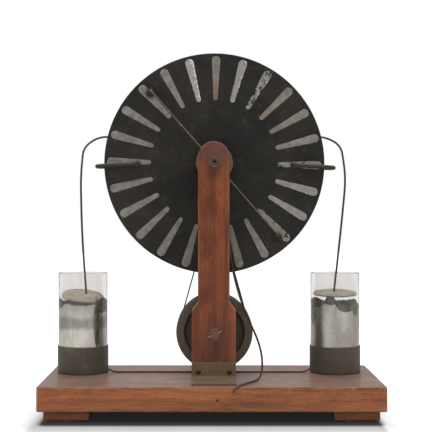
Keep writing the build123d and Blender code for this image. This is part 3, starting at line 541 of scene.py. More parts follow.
# A dark spot on the base's front: the painted shade of a nail hole.
BASE_MARKS = [((7.4, BASE_FACE, 28.9), 1.0, 2.6, 1.0, (38, 24, 18))]
UPRIGHT_MARKS = [((x, UPRIGHT_FACE, z), *mark) for x, z, *mark in (
    (axis_x, axis_z + 20, 0.9, 30.0, 0.62, GREYED),
    # Painted shadow below the axle's end.
    (axis_x, axis_z - 12, 0.6, 11.0, 0.55, STAIN_AND_SHADOW_TONE),
    (axis_x - 8, axis_z - 110, 0.5, 10.0, 0.25, STAIN_AND_SHADOW_TONE),
    (shaft_x, shaft_z - 16, 0.8, 42.0, 0.36, STAIN_AND_SHADOW_TONE),
    (shaft_x, 56.0, 1.6, 40.0, 0.22, GREYED),
    (shaft_x - 3, shaft_z + 20, 0.45, 9.0, 0.40, STAIN_AND_SHADOW_TONE),
    (shaft_x + 2, shaft_z - 20, 0.6, 9.0, 0.45, STAIN_AND_SHADOW_TONE),
)]
# Light, dark, pore and worn colour (edge wear with a painted highlight), stains, grain, dust above and
# around, coat, its roughness, marks, dust (on the base's top dust with a painted sheen).
WOODS = {
    # The base's grey top is dust and a painted sheen.
    "base wood": ((166, 100, 58), (112, 62, 37), (50, 30, 22), (160, 108, 74), 0.4, "X", 0.68, 0.0, 0.14, 0.2,
                  BASE_MARKS, (92, 95, 95)),
    "foot wood": ((134, 80, 54), (90, 52, 36), (42, 26, 20), (140, 96, 68), 0.4, "X", 0.2, 0.0),
    "upright wood": ((140, 75, 42), (92, 48, 31), (46, 26, 24), (172, 128, 100), 0.6, "Z", 0.3, 0.0, 0.1,
                     0.25, UPRIGHT_MARKS),
    "boss wood": ((132, 98, 70), (86, 62, 44), (42, 30, 22), (150, 118, 90), 0.4, "Y", 0.2, 0.01),
    "grip wood": ((104, 62, 42), (64, 36, 26), (26, 16, 13), (130, 86, 62), 0.3, "Y", 0.1, 0.0, 0.5),
}
# Bare metal, patina and spots, how much the patina covers, the pattern's scale, dust above, radius of
# the painted shade over the wheel's recessed web.
METALS = {
    "brass": ((134, 116, 88), (92, 78, 60), (44, 36, 28), 0.72),
    "dark brass": ((88, 82, 66), (54, 51, 42), (30, 27, 22), 0.75, 90.0),
    "rod": ((128, 118, 104), (92, 84, 72), (46, 40, 34), 0.6, 120.0),
    "steel": ((120, 116, 108), (70, 62, 54), (36, 29, 24), 0.7),
    "wheel": ((134, 118, 102), (92, 81, 69), (42, 36, 30), 0.72, 45.0, 0.3, 0.0400),
    "cup": ((124, 116, 102), (84, 78, 68), (50, 45, 36), 0.66, 26.0),
    "wire": ((104, 96, 82), (66, 59, 50), (36, 31, 26), 0.75),
    "dark wire": ((100, 74, 58), (72, 52, 42), (42, 30, 25), 0.8, 90.0, 0.1),
    "tinsel": ((108, 90, 68), (76, 62, 47), (38, 30, 22), 0.7, 300.0, 0.1),
    "pin": ((170, 156, 138), (124, 108, 92), (80, 66, 54), 0.5, 120.0),
    "washer": ((158, 128, 106), (114, 82, 64), (54, 36, 28), 0.7, 200.0, 0.1),
    "bracket": ((138, 114, 82), (106, 86, 62), (62, 46, 32), 0.72, 40.0, 0.1),
    "dark screw": ((104, 92, 70), (56, 46, 36), (28, 22, 18), 0.72, 160.0, 0.5),
}


def make_finishes():
    """Every finish by its name."""
    make_wood_group()
    make_tarnish_group()
    make_dust_group()
    return {
        **{name: wood_material(name, *values) for name, values in WOODS.items()},
        **{name: metal_material(name, *values) for name, values in METALS.items()},
        "axle": axle_material(), "ebonite": ebonite_material(), "sector foil": sector_foil_material(),
        "jar foil": jar_foil_material(), "dull foil": dull_foil_material(), "glass": glass_material(),
        "cord": cord_material("cord", (46, 40, 35), (96, 78, 64), (98, 66, 52)),
        "belt": cord_material("belt", (44, 40, 36), (58, 53, 47)),
        "lid": card_material("lid", (168, 158, 142), (128, 118, 104)),
        "felt": card_material("felt", (158, 136, 88), (96, 80, 50)),
    }


# Parts of the frame that show as they are, by their finish. What is neither here nor replaced is brass.
SHOWN = {
    "foot wood": "feet", "felt": "foot_pads", "ebonite": "cross_bar", "belt": "crossed_belt",
    "wire": "left_jar_wire right_jar_wire", "dark wire": "outer_coat_wire",
    "dark brass": "left_collector right_collector collector_points",
    "rod": "front_neutraliser_rod rear_neutraliser_rod", "axle": "main_axle front_axle_bush",
    "washer": "drive_axle drive_washers", "pin": "drive_pin", "steel": "crank_arm crank_nut crank_pin",
}


def dress_nodes():
    """Every part of the frame gets its finish."""
    finish_of = {node: finish for finish, nodes in SHOWN.items() for node in nodes.split()}
    for name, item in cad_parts.items():
        item.data.materials.clear()
        item.data.materials.append(finishes[finish_of.get(name, "brass")])


# ---- surfaces ----
# Each surface is a pair: points in millimetres and faces as rows of point numbers.
def unit(vectors):
    """Vectors of length 1 in the same directions."""
    return vectors / np.linalg.norm(vectors, axis=-1, keepdims=True)


def run_along(line):
    """Length along a line up to each of its points."""
    return np.concatenate([[0], np.cumsum(np.linalg.norm(np.diff(line, axis=0), axis=1))])


def follow(line, run, places):
    """Points of a line at the given lengths along it."""
    return np.stack([np.interp(places, run, part) for part in line.T], 1)


def soften(outline, radius, count=6):
    """Each corner of a closed outline turns into a curve P = (1-t)^2 A + 2t(1-t) C + t^2 B, where C is the
    corner and A and B lie on its two sides, radius away from it or half a side if that is less."""
    outline = np.asarray(outline, float)
    before, after = np.roll(outline, 1, 0) - outline, np.roll(outline, -1, 0) - outline
    long_before, long_after = np.linalg.norm(before, axis=1), np.linalg.norm(after, axis=1)
    cut = np.minimum(radius, 0.5 * np.minimum(long_before, long_after))
    start = outline + before * (cut / long_before)[:, None]
    end = outline + after * (cut / long_after)[:, None]
    t = np.linspace(0, 1, count)[None, :, None]
    curve = (1 - t) ** 2 * start[:, None] + 2 * t * (1 - t) * outline[:, None] + t ** 2 * end[:, None]
    return curve.reshape(-1, 2)


def all_round(count):
    """Even angles round a circle."""
    return np.linspace(0, 2 * math.pi, count, endpoint=False)


def evenly(outline, step):
    """Closed outline with its points laid out again at even steps along its length."""
    closed = np.vstack([outline, outline[:1]])
    run = run_along(closed)
    return follow(closed, run, np.linspace(0, run[-1], max(int(run[-1] / step), 12), endpoint=False))


def quads(rows, columns, wrap_rows=False, wrap_columns=True):
    """Four-sided faces between neighbouring rows and columns of points."""
    row = np.arange(rows if wrap_rows else rows - 1)[:, None]
    column = np.arange(columns if wrap_columns else columns - 1)[None, :]
    following = (column + 1) % columns
    here, below = row * columns, (row + 1) % rows * columns
    return np.stack([here + column, here + following, below + following, below + column], -1).reshape(-1, 4)


def capped(rows, count):
    """Faces of a tube with count points in each row, and one face over each of its ends."""
    ends = [list(range(first, first + count)) for first in (0, (rows - 1) * count)]
    return quads(rows, count).tolist() + ends


def repeated(faces, times, count):
    """The same faces for each of several grids of count points."""
    return (faces[None] + (np.arange(times) * count)[:, None, None]).reshape(-1, 4)


def ripple(first, second, seed, octaves=4):
    """Smooth uneven pattern from -1 to 1: a sum of sines. Each time the pace doubles and the height falls
    to 0.55 of itself, and directions and starts follow from the seed."""
    total, weight = 0.0, 0.0
    for octave in range(octaves):
        pace, height, lean = 2.0 ** octave, 0.55 ** octave, seed * 1.7 + octave * 2.1
        one = first * math.cos(lean) + second * math.sin(lean)
        other = first * math.sin(lean * 1.3) - second * math.cos(lean * 1.3)
        total = total + height * (np.sin(pace * one + seed * 5.3 + octave) + np.sin(pace * other + seed))
        weight += 2 * height
    return total / weight


def turned(profile, centre, segments, along="Y", uneven=None, ring=False):
    """Surface of revolution: a profile pair (r, t) sweeps the circle centre + t*axis + r*(cos a, sin a)
    across the axis. uneven(a, t) is added to the radius; ring joins the profile's ends."""
    profile = np.asarray(profile, float)
    angle = all_round(segments)[None, :]
    radius = np.repeat(profile[:, :1], segments, 1)
    place = np.repeat(profile[:, 1:], segments, 1)
    if uneven is not None:
        radius = radius + uneven(angle + 0 * radius, place) * (radius > 1e-6)
    across, up = radius * np.cos(angle), radius * np.sin(angle)
    points = np.stack((across, place, up) if along == "Y" else (across, up, place), -1)
    return points.reshape(-1, 3) + np.asarray(centre, float), quads(len(profile), segments, wrap_rows=ring)


EDGE_FADE = 0.7                  # how far the worn edge and its painted highlight fade into a face, in millimetres
EDGE_ROWS = 5


def slab(outline, start, end, plane, radius):
    """Board: the outline is pushed from start to end. Near both ends it shrinks along its inward normal
    by r(1 - sin q) while it moves by r(1 - cos q), q from 0 to a right angle, which rounds its edges;
    there is a radius for each point, so that a worn edge is rounder here and there. The value "edge" marks
    the paler wear and the painted highlight on the rounded edges: it is 1 on edges that run along the
    outline's first direction and less on the others."""
    ahead = unit(np.roll(outline, -1, 0) - np.roll(outline, 1, 0))
    area = np.sum(outline[:, 0] * np.roll(outline[:, 1], -1) - np.roll(outline[:, 0], -1) * outline[:, 1])
    inward = np.stack([-ahead[:, 1], ahead[:, 0]], 1) * math.copysign(1, area)
    q = np.linspace(0, QUARTER, EDGE_ROWS)[:, None]
    inset, depth = radius * (1 - np.sin(q)), radius * (1 - np.cos(q))
    run = np.linspace(0, 1, EDGE_ROWS)[1:-1, None]
    straight = (start + radius) * (1 - run) + (end - radius) * run
    worn_and_highlit = 0.25 + 0.75 * np.abs(ahead[:, 0])[None] + 0 * inset
    place = np.vstack([0 * radius + start, start + depth, straight, (end - depth)[::-1], 0 * radius + end])
    edge = np.vstack([0 * radius, worn_and_highlit, 0 * straight, worn_and_highlit, 0 * radius])
    inset = np.vstack([radius + EDGE_FADE, inset, 0 * straight, inset[::-1], radius + EDGE_FADE])
    a, b = np.moveaxis(outline[None] + inward[None] * inset[:, :, None], -1, 0)
    points = np.stack((a, place, b) if plane == "XZ" else (a, b, place), -1)
    return points.reshape(-1, 3), capped(len(place), len(outline)), {"edge": edge.ravel()}


SHEET_ROUND = 0.5


def bent_sheet(line, low, high, sheet):
    """Sheet that follows a line in Y and Z: at each place P(s) stands a rectangle with round corners, x
    across and t through the sheet, as (x, P_y + n_y t, P_z + n_z t), n the line's normal. The rectangle
    shrinks by r(1 - sin q) where the line has r(1 - cos q) left, which rounds both ends."""
    run = run_along(line)
    q = np.linspace(0, QUARTER, 4)
    near_end, inset = SHEET_ROUND * (1 - np.cos(q)), SHEET_ROUND * (1 - np.sin(q))
    straight = np.linspace(SHEET_ROUND, run[-1] - SHEET_ROUND, 40)[1:-1]
    places = np.concatenate([near_end, straight, run[-1] - near_end[::-1]])
    inset = np.concatenate([inset, 0 * straight, inset[::-1]])
    along = follow(line, run, places)
    ahead = unit(follow(np.gradient(line, run, axis=0), run, places))
    half = np.array([(high - low) / 2, sheet / 2])
    ring = soften(oblong(*-half, *half), SHEET_ROUND, 4)[None]
    ring = ring * (1 - inset[:, None, None] / half)
    points = np.stack([(low + high) / 2 + ring[..., 0],
                       along[:, None, 0] - ahead[:, None, 1] * ring[..., 1],
                       along[:, None, 1] + ahead[:, None, 0] * ring[..., 1]], -1)
    return points.reshape(-1, 3), capped(len(places), ring.shape[1])


def tubes(paths, radius, sides=8, reference=(0, 1, 0)):
    """Round rods along paths (rods x points x 3): each point gets the circle P + r(cos a * N + sin a * B),
    where N is at right angles to the path and to the reference, and B to both. The ends close to a point."""
    ahead, paths = (np.concatenate([rows[:, :1], rows, rows[:, -1:]], 1)
                    for rows in (np.gradient(paths, axis=1), paths))
    radius = np.pad(np.full(paths.shape[:2], radius)[:, 2:], ((0, 0), (1, 1)))
    normal = unit(np.cross(ahead, np.asarray(reference, float)))
    across = unit(np.cross(ahead, normal))
    angle = all_round(sides)[:, None]
    circle = np.cos(angle) * normal[:, :, None] + np.sin(angle) * across[:, :, None]
    points = paths[:, :, None] + radius[:, :, None, None] * circle
    count, rows = paths.shape[:2]
    return points.reshape(-1, 3), repeated(quads(rows, sides), count, rows * sides)


SLOT_WIDTH = 0.55                # half the width of a screw's slot
SLOT_DEPTH = 0.75                # as a share of the head's height
SLOT_WALLS = np.array([-1.02, -0.98, 0.98, 1.02])                # as shares of the slot's half width
HEAD_ROWS = 12


def slotted_head(centre, out, radius, height, turn):
    """Low domed screw head: height h(1 - (r/R)^3) above its seat, less the slot's depth where the distance
    from the slot's line is under the slot's half width. Rows run along chords, so the slot is straight."""
    half = SLOT_WIDTH / radius
    rise = np.cos(np.linspace(0, QUARTER, HEAD_ROWS))[:-1] * (1 - half) + half
    chords = np.concatenate([-rise, half * SLOT_WALLS, rise[::-1]])
    across = np.linspace(-1, 1, 2 * HEAD_ROWS + 1)
    a = np.repeat(chords[:, None], len(across), 1)
    b = across[None] * np.sqrt(np.maximum(1 - a ** 2, 0))
    r = np.sqrt(a ** 2 + b ** 2)
    lift = height * (1 - r ** 3) - SLOT_DEPTH * height * (np.abs(a) < half)
    lift = np.where(r > 0.999, 0, lift)
    out = np.asarray(out, float)
    side = np.cross(out, (0.0, 0.0, 1.0) if abs(out[2]) < 0.5 else (1.0, 0.0, 0.0))
    u = radius * (a * math.cos(turn) - b * math.sin(turn))
    v = radius * (a * math.sin(turn) + b * math.cos(turn))
    lifted = u[..., None] * side + v[..., None] * np.cross(out, side) + lift[..., None] * out
    return (lifted + centre).reshape(-1, 3), quads(*a.shape, wrap_columns=False)


def joined(surfaces):
    """Several surfaces as one."""
    starts = np.cumsum([0] + [len(points) for points, faces in surfaces])
    return (np.vstack([points for points, faces in surfaces]),
            np.vstack([faces + start for start, (points, faces) in zip(starts, surfaces)]))


SHARP = 0.75                     # a smooth surface breaks at corners sharper than this, in radians


def piece(name, surface, finish, body, node=None, weld=True):
    """Mesh object at the origin: welded, faces outwards, smooth but for its sharp corners."""
    points, faces, *facts = surface
    mesh = bpy.data.meshes.new(name)
    mesh.from_pydata((points * MM).tolist(), [], [list(face) for face in faces])
    for key, values in (facts[0] if facts else {}).items():
        mesh.attributes.new(key, "FLOAT", "POINT").data.foreach_set("value", np.asarray(values, np.float32))
    if weld:
        work = bmesh.new()
        work.from_mesh(mesh)
        bmesh.ops.remove_doubles(work, verts=work.verts, dist=1e-6)
        bmesh.ops.recalc_face_normals(work, faces=work.faces)
        work.to_mesh(mesh)
        work.free()
    mesh.polygons.foreach_set("use_smooth", np.ones(len(mesh.polygons), bool))
    mesh.set_sharp_from_angle(angle=SHARP)
    item = new_object(name, mesh)
    mesh.materials.append(finishes[finish])
    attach(item, body)
    if node:
        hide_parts(node)
    return item


def thicken(item, sheet):
    """A sheet gets its thickness on its inner side."""
    modifier = item.modifiers.new("thickness", "SOLIDIFY")
    modifier.thickness = sheet * MM
    modifier.offset = -1


# ---- build ----
finishes = make_finishes()
make_camera()
make_stage()
dress_nodes()

# ---- loose cord ----
# The same route as the cord's solid, in metres; along Y it is given before the frame's own shift.
FRAME_SHIFT = -0.00735
CORD_DIAMETER = 0.003
CORD_STRANDS = 3
STRAND_SHARE = 0.52              # a strand's radius as a share of the cord's
CORD_LAY = 9.0                   # length of one turn of a strand, in millimetres
CORD_ROUTE = [
    (-0.0090, -0.0045, 0.2860), (-0.0105, -0.0042, 0.3083), (-0.0099, -0.0042, 0.3487),
    (0.0179, -0.0042, 0.3487), (0.0184, -0.0042, 0.3173), (0.0202, -0.0052, 0.2760),
    (0.0230, -0.0070, 0.2380), (0.0260, -0.0090, 0.2070), (0.0310, -0.0110, 0.1790),
    (0.0398, -0.0135, 0.1480), (0.0510, -0.0155, 0.1210), (0.0615, -0.0185, 0.0990),
    (0.0680, -0.0230, 0.0760), (0.0675, -0.0320, 0.0555), (0.0625, -0.0500, 0.0477),
    (0.0515, -0.0720, 0.0481), (0.0410, -0.0920, 0.0479), (0.0335, -0.1055, 0.0484),
    (0.0260, -0.1095, 0.0400),
]


def route_points(name, route):
    """Points along the smooth open spline that the route controls, read back from it, in metres."""
    data = bpy.data.curves.new(name, "CURVE")
    data.dimensions, data.resolution_u = "3D", 24
    spline = data.splines.new("NURBS")
    spline.points.add(len(route) - 1)
    for target, (x, y, z) in zip(spline.points, route):
        target.co = (x, y + FRAME_SHIFT, z, 1.0)
    spline.order_u, spline.use_endpoint_u = 3, True
    item = new_object(name, data)
    mesh = bpy.data.meshes.new_from_object(item)
    found = np.empty(3 * len(mesh.vertices))
    mesh.vertices.foreach_get("co", found)
    bpy.data.meshes.remove(mesh)
    bpy.data.objects.remove(item)
    return found.reshape(-1, 3)


def twisted_cord():
    """Three strands around the centreline C(s): strand k runs at C + h(cos p * N + sin p * B), with
    p = 2 pi (s / lay + k / 3), so together they are as thick as the cord."""
    line = route_points("cord_line", CORD_ROUTE)
    run = run_along(line)
    places = np.linspace(0, run[-1], 640)
    fine = follow(line, run, places) / MM
    ahead = np.gradient(fine, axis=0)
    normal = unit(np.cross(ahead, (0, 1, 0)))
    across = unit(np.cross(ahead, normal))
    strand = CORD_DIAMETER / MM / 2 * STRAND_SHARE
    offset = CORD_DIAMETER / MM / 2 - strand
    phase = 2 * math.pi * (places[None] / MM / CORD_LAY + np.arange(CORD_STRANDS)[:, None] / CORD_STRANDS)
    paths = fine[None] + offset * (np.cos(phase)[..., None] * normal + np.sin(phase)[..., None] * across)
    return tubes(paths, strand), fine * MM


cord_surface, cord_line = twisted_cord()
cord = piece("loose_drive_cord", cord_surface, "cord", "root", "loose_cord")
cord_line[::4].tolist() + [cord_line[-1].tolist()]

# ---- base board, uprights and brackets ----
BASE_CORNER = 3.0
BASE_EDGE = 1.3
COLUMN_WIDTH = 42.0
SHOULDERS = (91.5, 102.8)        # above the base
UPRIGHT_EDGE = 1.0
BRACKET_SHEET = 2.5
BEND_RADIUS = 4.6
SCREW_SPREAD = 20.6
LEG_SCREW_HEIGHT = 10.4
FLANGE_SCREW_SHARE = 0.72
SCREW_HEAD = (3.6, 1.3)          # radius and height


def worn(outline, radius, pace, seed, uneven):
    """Radius for each point of an outline: the given one, made larger by a ripple along the outline."""
    return radius * (1.0 + uneven * np.abs(ripple(outline[:, 0] / pace, outline[:, 1] / pace, seed)))


def upright_surface(node, seed):
    """Board in X and Z: a wide foot, sloping shoulders and a narrow column with a round top."""
    low, high, half = corners(node)
    column = COLUMN_WIDTH / 2
    angle = np.linspace(0, math.pi, 25)
    arch = np.stack([column * np.cos(angle), high[2] - column + column * np.sin(angle)], 1)
    flank = [(half[0], low[2]), (half[0], low[2] + SHOULDERS[0]), (column, low[2] + SHOULDERS[1])]
    outline = np.vstack([[(-half[0], low[2])], flank, arch, [(-x, z) for x, z in flank[:0:-1]]])
    outline = evenly(outline + [(low[0] + high[0]) / 2, 0], 2.5)
    return slab(outline, low[1], high[1], "XZ", worn(outline, UPRIGHT_EDGE, 15, seed, 0.6))


low, high, _ = corners("base_board")
outline = evenly(soften(oblong(*low[:2], *high[:2]), BASE_CORNER), 4.0)
piece("worn_base_board", slab(outline, low[2], high[2], "XY", worn(outline, BASE_EDGE, 23, 1.0, 0.7)),
      "base wood", "root", "base_board")
for (side, sign), seed in zip(SIDES, (2.0, 5.0)):
    piece(f"{side}_upright_board", upright_surface(f"{side}_upright", seed), "upright wood", "root",
          f"{side}_upright")
heads = []
for side, sign in SIDES:
    low, high, _ = corners(f"{side}_bracket")
    near, far = (low[1], high[1])[::sign]
    leg, flange = near + sign * BRACKET_SHEET / 2, low[2] + BRACKET_SHEET / 2
    turn = np.linspace(0, QUARTER, 12)
    bend = np.stack([leg + sign * BEND_RADIUS * (1 - np.cos(turn)),
                     flange + BEND_RADIUS * (1 - np.sin(turn))], 1)
    line = np.vstack([[(leg, high[2])], bend, [(far, flange)]])
    piece(f"{side}_angle_bracket", bent_sheet(line, low[0], high[0], BRACKET_SHEET), "bracket", "root",
          f"{side}_bracket")
    for number, across in enumerate((-SCREW_SPREAD, SCREW_SPREAD)):
        x = (low[0] + high[0]) / 2 + across
        heads += [
            slotted_head((x, near + sign * BRACKET_SHEET, low[2] + LEG_SCREW_HEIGHT), (0, sign, 0),
                         *SCREW_HEAD, 0.5 + 1.3 * number + sign),
            slotted_head((x, near + (far - near) * FLANGE_SCREW_SHARE, low[2] + BRACKET_SHEET), (0, 0, 1),
                         *SCREW_HEAD, 1.1 + 0.9 * number)]
piece("bracket_screw_heads", joined(heads), "dark screw", "root", "bracket_screws")

# ---- plates, bosses and wheels ----
PLATE_EDGE = 1.1
BOSS_FLANGE = 5.5                # next to the plate
BOSS_GROOVE = (11.8, 7.5, 0.66)  # floor radius, width, floor's share of the width
WHEEL_GROOVE = (47.0, 6.4, 0.8)
WHEEL_RING = 40.6
WHEEL_WEB = 4.0
WHEEL_HUB = 12.0
PLATE_BORE, BOSS_BORE, WHEEL_BORE = 9.0, 6.5, 4.1
# Sides of the turned surfaces.
SMALL_SEGMENTS, LARGE_SEGMENTS, PLATE_SEGMENTS = 96, 160, 256
# How far the profiles' corners are rounded, in order; the wheel's is given up to the middle of its rim.
BOSS_ROUNDS = [0.3, 0.8, 0.8, 0.8, 0.8, 0.8, 1.6, 0.3]
WHEEL_ROUNDS = [0.2, 0.8, 1.5, 1.5, 0.9, 0.6, 0.6, 1.0]


def grooved(radius, start, floor, width, share):
    """Profile pairs of a belt groove with sloping sides that starts at the given place."""
    slope = width * (1 - share) / 2
    return [(radius, start), (floor, start + slope), (floor, start + width - slope), (radius, start + width)]


axle = (axis_x, 0, axis_z)
for side, sign in SIDES:
    low, high, half = corners(f"{side}_plate")
    rim = soften(oblong(PLATE_BORE, low[1], half[2], high[1]), [0.1, PLATE_EDGE, PLATE_EDGE, 0.1])
    piece(f"{side}_ebonite_plate", turned(rim, axle, PLATE_SEGMENTS, ring=True), "ebonite", f"{side}_disc",
          f"{side}_plate")
    low, high, half = corners(f"{side}_boss")
    length = high[1] - low[1]
    profile = soften([(BOSS_BORE, 0), (half[2], 0), *grooved(half[2], BOSS_FLANGE, *BOSS_GROOVE),
                      (half[2], length), (BOSS_BORE, length)], BOSS_ROUNDS, 5)
    profile[:, 1] = (low[1], high[1])[::sign][0] + sign * profile[:, 1]
    piece(f"{side}_turned_boss", turned(profile, axle, SMALL_SEGMENTS, ring=True), "boss wood",
          f"{side}_disc", f"{side}_boss")
    low, high, half = corners(f"{side}_drive_wheel")
    width = high[1] - low[1]
    face = [(WHEEL_BORE, 0), (WHEEL_HUB, 0), (WHEEL_HUB + 1.5, WHEEL_WEB), (WHEEL_RING - 1.0, WHEEL_WEB),
            (WHEEL_RING, 0), (half[2], 0)]
    profile = soften([*face, *grooved(half[2], (width - WHEEL_GROOVE[1]) / 2, *WHEEL_GROOVE),
                      *((r, width - t) for r, t in reversed(face))], WHEEL_ROUNDS + WHEEL_ROUNDS[::-1], 5)
    profile[:, 1] += low[1]
    centre = middle(f"{side}_drive_wheel") / MM
    piece(f"{side}_grooved_wheel", turned(profile, (centre.x, 0, centre.z), LARGE_SEGMENTS, ring=True),
          "wheel", "drive", f"{side}_drive_wheel")

# ---- foil sectors ----
SECTOR_COUNT = 24
SECTOR_GRID = (96, 17)           # rows along and columns across
SECTOR_TOP_ANGLE = 89.0
SECTOR_REACH = (0.575, 0.974)    # of the plate's radius
SECTOR_WIDTHS = (5.7, 12.1)
SECTOR_SHEET = 0.08
SECTOR_LIFT, SECTOR_WAVE = 0.10, 0.03    # mean height over the plate, and how far it waves
# Clockwise from the top as seen from the front: flaked away, rubbed bright, browned at the inner end.
FRONT_WEAR = {
    0: (0.05, 0.05, 1.0), 1: (0.12, 0.55, 0.1), 2: (0.68, 0.50, 0.0), 3: (0.05, 0.1, 0.6),
    4: (0.0, 0.1, 0.5), 5: (0.0, 0.12, 0.1), 6: (0.52, 0.40, 0.0), 7: (0.1, 0.45, 0.0),
    8: (0.2, 0.45, 0.0), 9: (0.45, 0.28, 0.0), 10: (0.22, 0.1, 0.0), 11: (0.0, 0.1, 0.1),
    23: (0.30, 0.90, 0.10), 22: (0.05, 0.10, 0.1),
}
REAR_WEAR = {1: (0.2, 0.3, 0.1), 5: (0.3, 0.6, 0.0), 9: (0.1, 0.3, 0.4), 14: (0.45, 0.5, 0.0),
             20: (0.2, 0.2, 0.3)}
PLAIN_WEAR = (0.0, 0.05, 0.05)


def sector_sheets(side, sign, wear_table):
    """Thin strips on a plate. At u along a strip and v across it the point is
    axis + r(u) * outwards + v * w(u) * sideways: r runs between the two reaches, and w is the half width,
    which follows a quarter circle at both ends and is nibbled by a ripple where the foil has flaked."""
    low, high, plate = corners(f"{side}_plate")
    rows, columns = SECTOR_GRID
    u = 0.5 - 0.5 * np.cos(math.pi * np.linspace(0, 1, rows))[None, :, None]
    v = np.linspace(-1, 1, columns)[None, None, :]
    number = np.arange(SECTOR_COUNT)[:, None, None]
    wear = np.array([wear_table.get(n, PLAIN_WEAR) for n in range(SECTOR_COUNT)])
    flaked, bright, browned = wear.T[..., None, None]
    inner, outer = (share * plate[2] for share in SECTOR_REACH)
    run, (narrow, wide) = outer - inner, SECTOR_WIDTHS
    half = (narrow * (1 - u) + wide * u) / 2
    ends = np.minimum(u * run / (narrow / 2), (1 - u) * run / (wide / 2))
    half = half * np.sqrt(np.clip(1 - (1 - np.clip(ends, 0, 1)) ** 2, 0.0004, 1))
    nibble = np.clip(ripple(u * 26 + number * 3.1, v * 0.4 + number, 3.0, 5) - 0.05, 0, 1)
    across = half * (1 - (0.05 + 0.9 * flaked) * nibble) * v
    radius = inner + run * u + 0 * v
    angle = np.radians(SECTOR_TOP_ANGLE - 360 / SECTOR_COUNT * number)
    lift = SECTOR_LIFT + SECTOR_WAVE * ripple(u * 30 + number * 2.0, v * 3, 7.0)
    x = axis_x + radius * np.cos(angle) + across * np.sin(angle)
    z = axis_z + radius * np.sin(angle) - across * np.cos(angle)
    points = np.stack([x, (high[1], low[1])[::sign][0] + sign * lift + 0 * x, z], -1).reshape(-1, 3)
    faces = repeated(quads(rows, columns, wrap_columns=False), SECTOR_COUNT, rows * columns)
    facts = {"along": u, "across": v, "number": number, "flaked": flaked, "bright": bright,
             "browned": browned}
    facts = {key: np.broadcast_to(value, x.shape).ravel() for key, value in facts.items()}
    return points, faces[:, ::-sign], facts


for (side, sign), table in zip(SIDES, (FRONT_WEAR, REAR_WEAR)):
    thicken(piece(f"{side}_foil_strips", sector_sheets(side, sign, table), "sector foil", f"{side}_disc",
                  f"{side}_sectors", weld=False), SECTOR_SHEET)

# ---- neutraliser brushes ----
BRUSH_WIRES = 150
BRUSH_WIRE_RADIUS = 0.2
NEUTRALISER_REACH = 131.0
NEUTRALISER_ANGLE = {"front": 131.4, "rear": 48.6}
GOLDEN_ANGLE = 2.39996
BRUSH_ROOT, BRUSH_SPREAD = 1.6, 4.2      # a bundle's radius at the rod, and how much it grows
BRUSH_FLATNESS, BRUSH_LEAN = 1.15, 0.8   # stretch along X, and how far the ends go to the left
BRUSH_CURL, BRUSH_SAG, BRUSH_TUFT = 0.6, 4.4, 3.4


def brush_surface(side, sign):
    """Bundles of fine wires: wire k leaves the rod's tip at angle g*k (g the golden angle) and distance
    d = sqrt(k/n) from its middle, and runs to the plate while it spreads by d, curls and sags. A few wires
    stand up in a tuft."""
    low, high, _ = corners(f"{side}_neutraliser_brushes")
    root, tip = (high[1], low[1])[::sign]
    k = np.arange(BRUSH_WIRES)[:, None]
    t = np.linspace(0, 1, 12)[None, :]
    golden = k * GOLDEN_ANGLE
    spread = np.sqrt((k + 0.5) / BRUSH_WIRES)
    reach = 1.0 - 0.22 * np.abs(np.sin(k * 1.9))
    out = spread * (BRUSH_ROOT + BRUSH_SPREAD * t ** 0.5) * (1 + 0.25 * np.sin(golden * 1.7))
    tuft = BRUSH_TUFT * t * spread * np.maximum(0, np.sin(golden)) ** 8
    curl = BRUSH_CURL * np.sin(3.0 * t + k * 0.7) * t
    droop = BRUSH_CURL * np.cos(2.2 * t + k) * t - BRUSH_SAG * t ** 1.3 + tuft
    made = []
    for end in (0, 180):
        angle = math.radians(NEUTRALISER_ANGLE[side] + end)
        x = (axis_x + NEUTRALISER_REACH * math.cos(angle) + BRUSH_FLATNESS * out * np.cos(golden) + curl
             - BRUSH_LEAN * t)
        z = axis_z + NEUTRALISER_REACH * math.sin(angle) + out * np.sin(golden) + droop
        y = root + (tip - root) * reach * t + 0 * x
        made.append(tubes(np.stack([x, y, z], -1), BRUSH_WIRE_RADIUS, 5, (1, 0, 0)))
    return joined(made)


for side, sign in SIDES:
    piece(f"{side}_tinsel_brushes", brush_surface(side, sign), "tinsel", f"{side}_neutraliser",
          f"{side}_neutraliser_brushes", weld=False)

# ---- leyden jars ----
GLASS_WALL = 2.5
GLASS_FLOOR = 4.0
CUP_SHEET = 1.0
FOIL_SHEET = 0.3
FOIL_SUNK = 0.12                 # the foil is pasted on, so it lies this deep in the glass
FLAP_GAP = 0.12
FLAP_SHEET = 0.1
FOIL_RAGGED, FOIL_WAVE = 1.1, 0.05       # unevenness of the upper edge and of the foil's face
LID_SHEET = 2.2
LID_INSET = 0.6                  # how much smaller the lid is than its solid
LID_TILT = {"left": (6.0, 11.0), "right": (0.0, 3.6)}    # sideways, towards the front, in degrees
LID_DOME = {"left": 1.6, "right": 0.2}
# Loose dark foil near the top: angle from the front and half width, in degrees, then its low and high edge
# above the base.
FLAPS = {
    "left": [(-68, 24, 90, 104), (66, 28, 84, 104), (41, 8, 40, 100), (0, 30, 94.5, 97.0), (86, 5, 50, 96)],
    "right": [(-62, 30, 92, 105), (-70, 11, 68, 99), (-18, 13, 95, 107), (30, 34, 86, 103), (50, 12, 80, 98),
              (84, 5, 70, 96)],
}
FOIL_TOP = {"left": 96.5, "right": 96.0}


def around(centre, radius, angle, z):
    """Points at a radius and an angle round an upright axis."""
    points = np.stack([centre.x + radius * np.cos(angle), centre.y + radius * np.sin(angle), z], -1)
    return points.reshape(-1, 3)


def beaker(radius, height, wall, floor, rounds, count):
    """Profile of an open round vessel with rounded corners."""
    inside = radius - wall
    return soften([(0, 0), (radius, 0), (radius, height), (inside, height), (inside, floor), (0, floor)],
                  rounds, count)


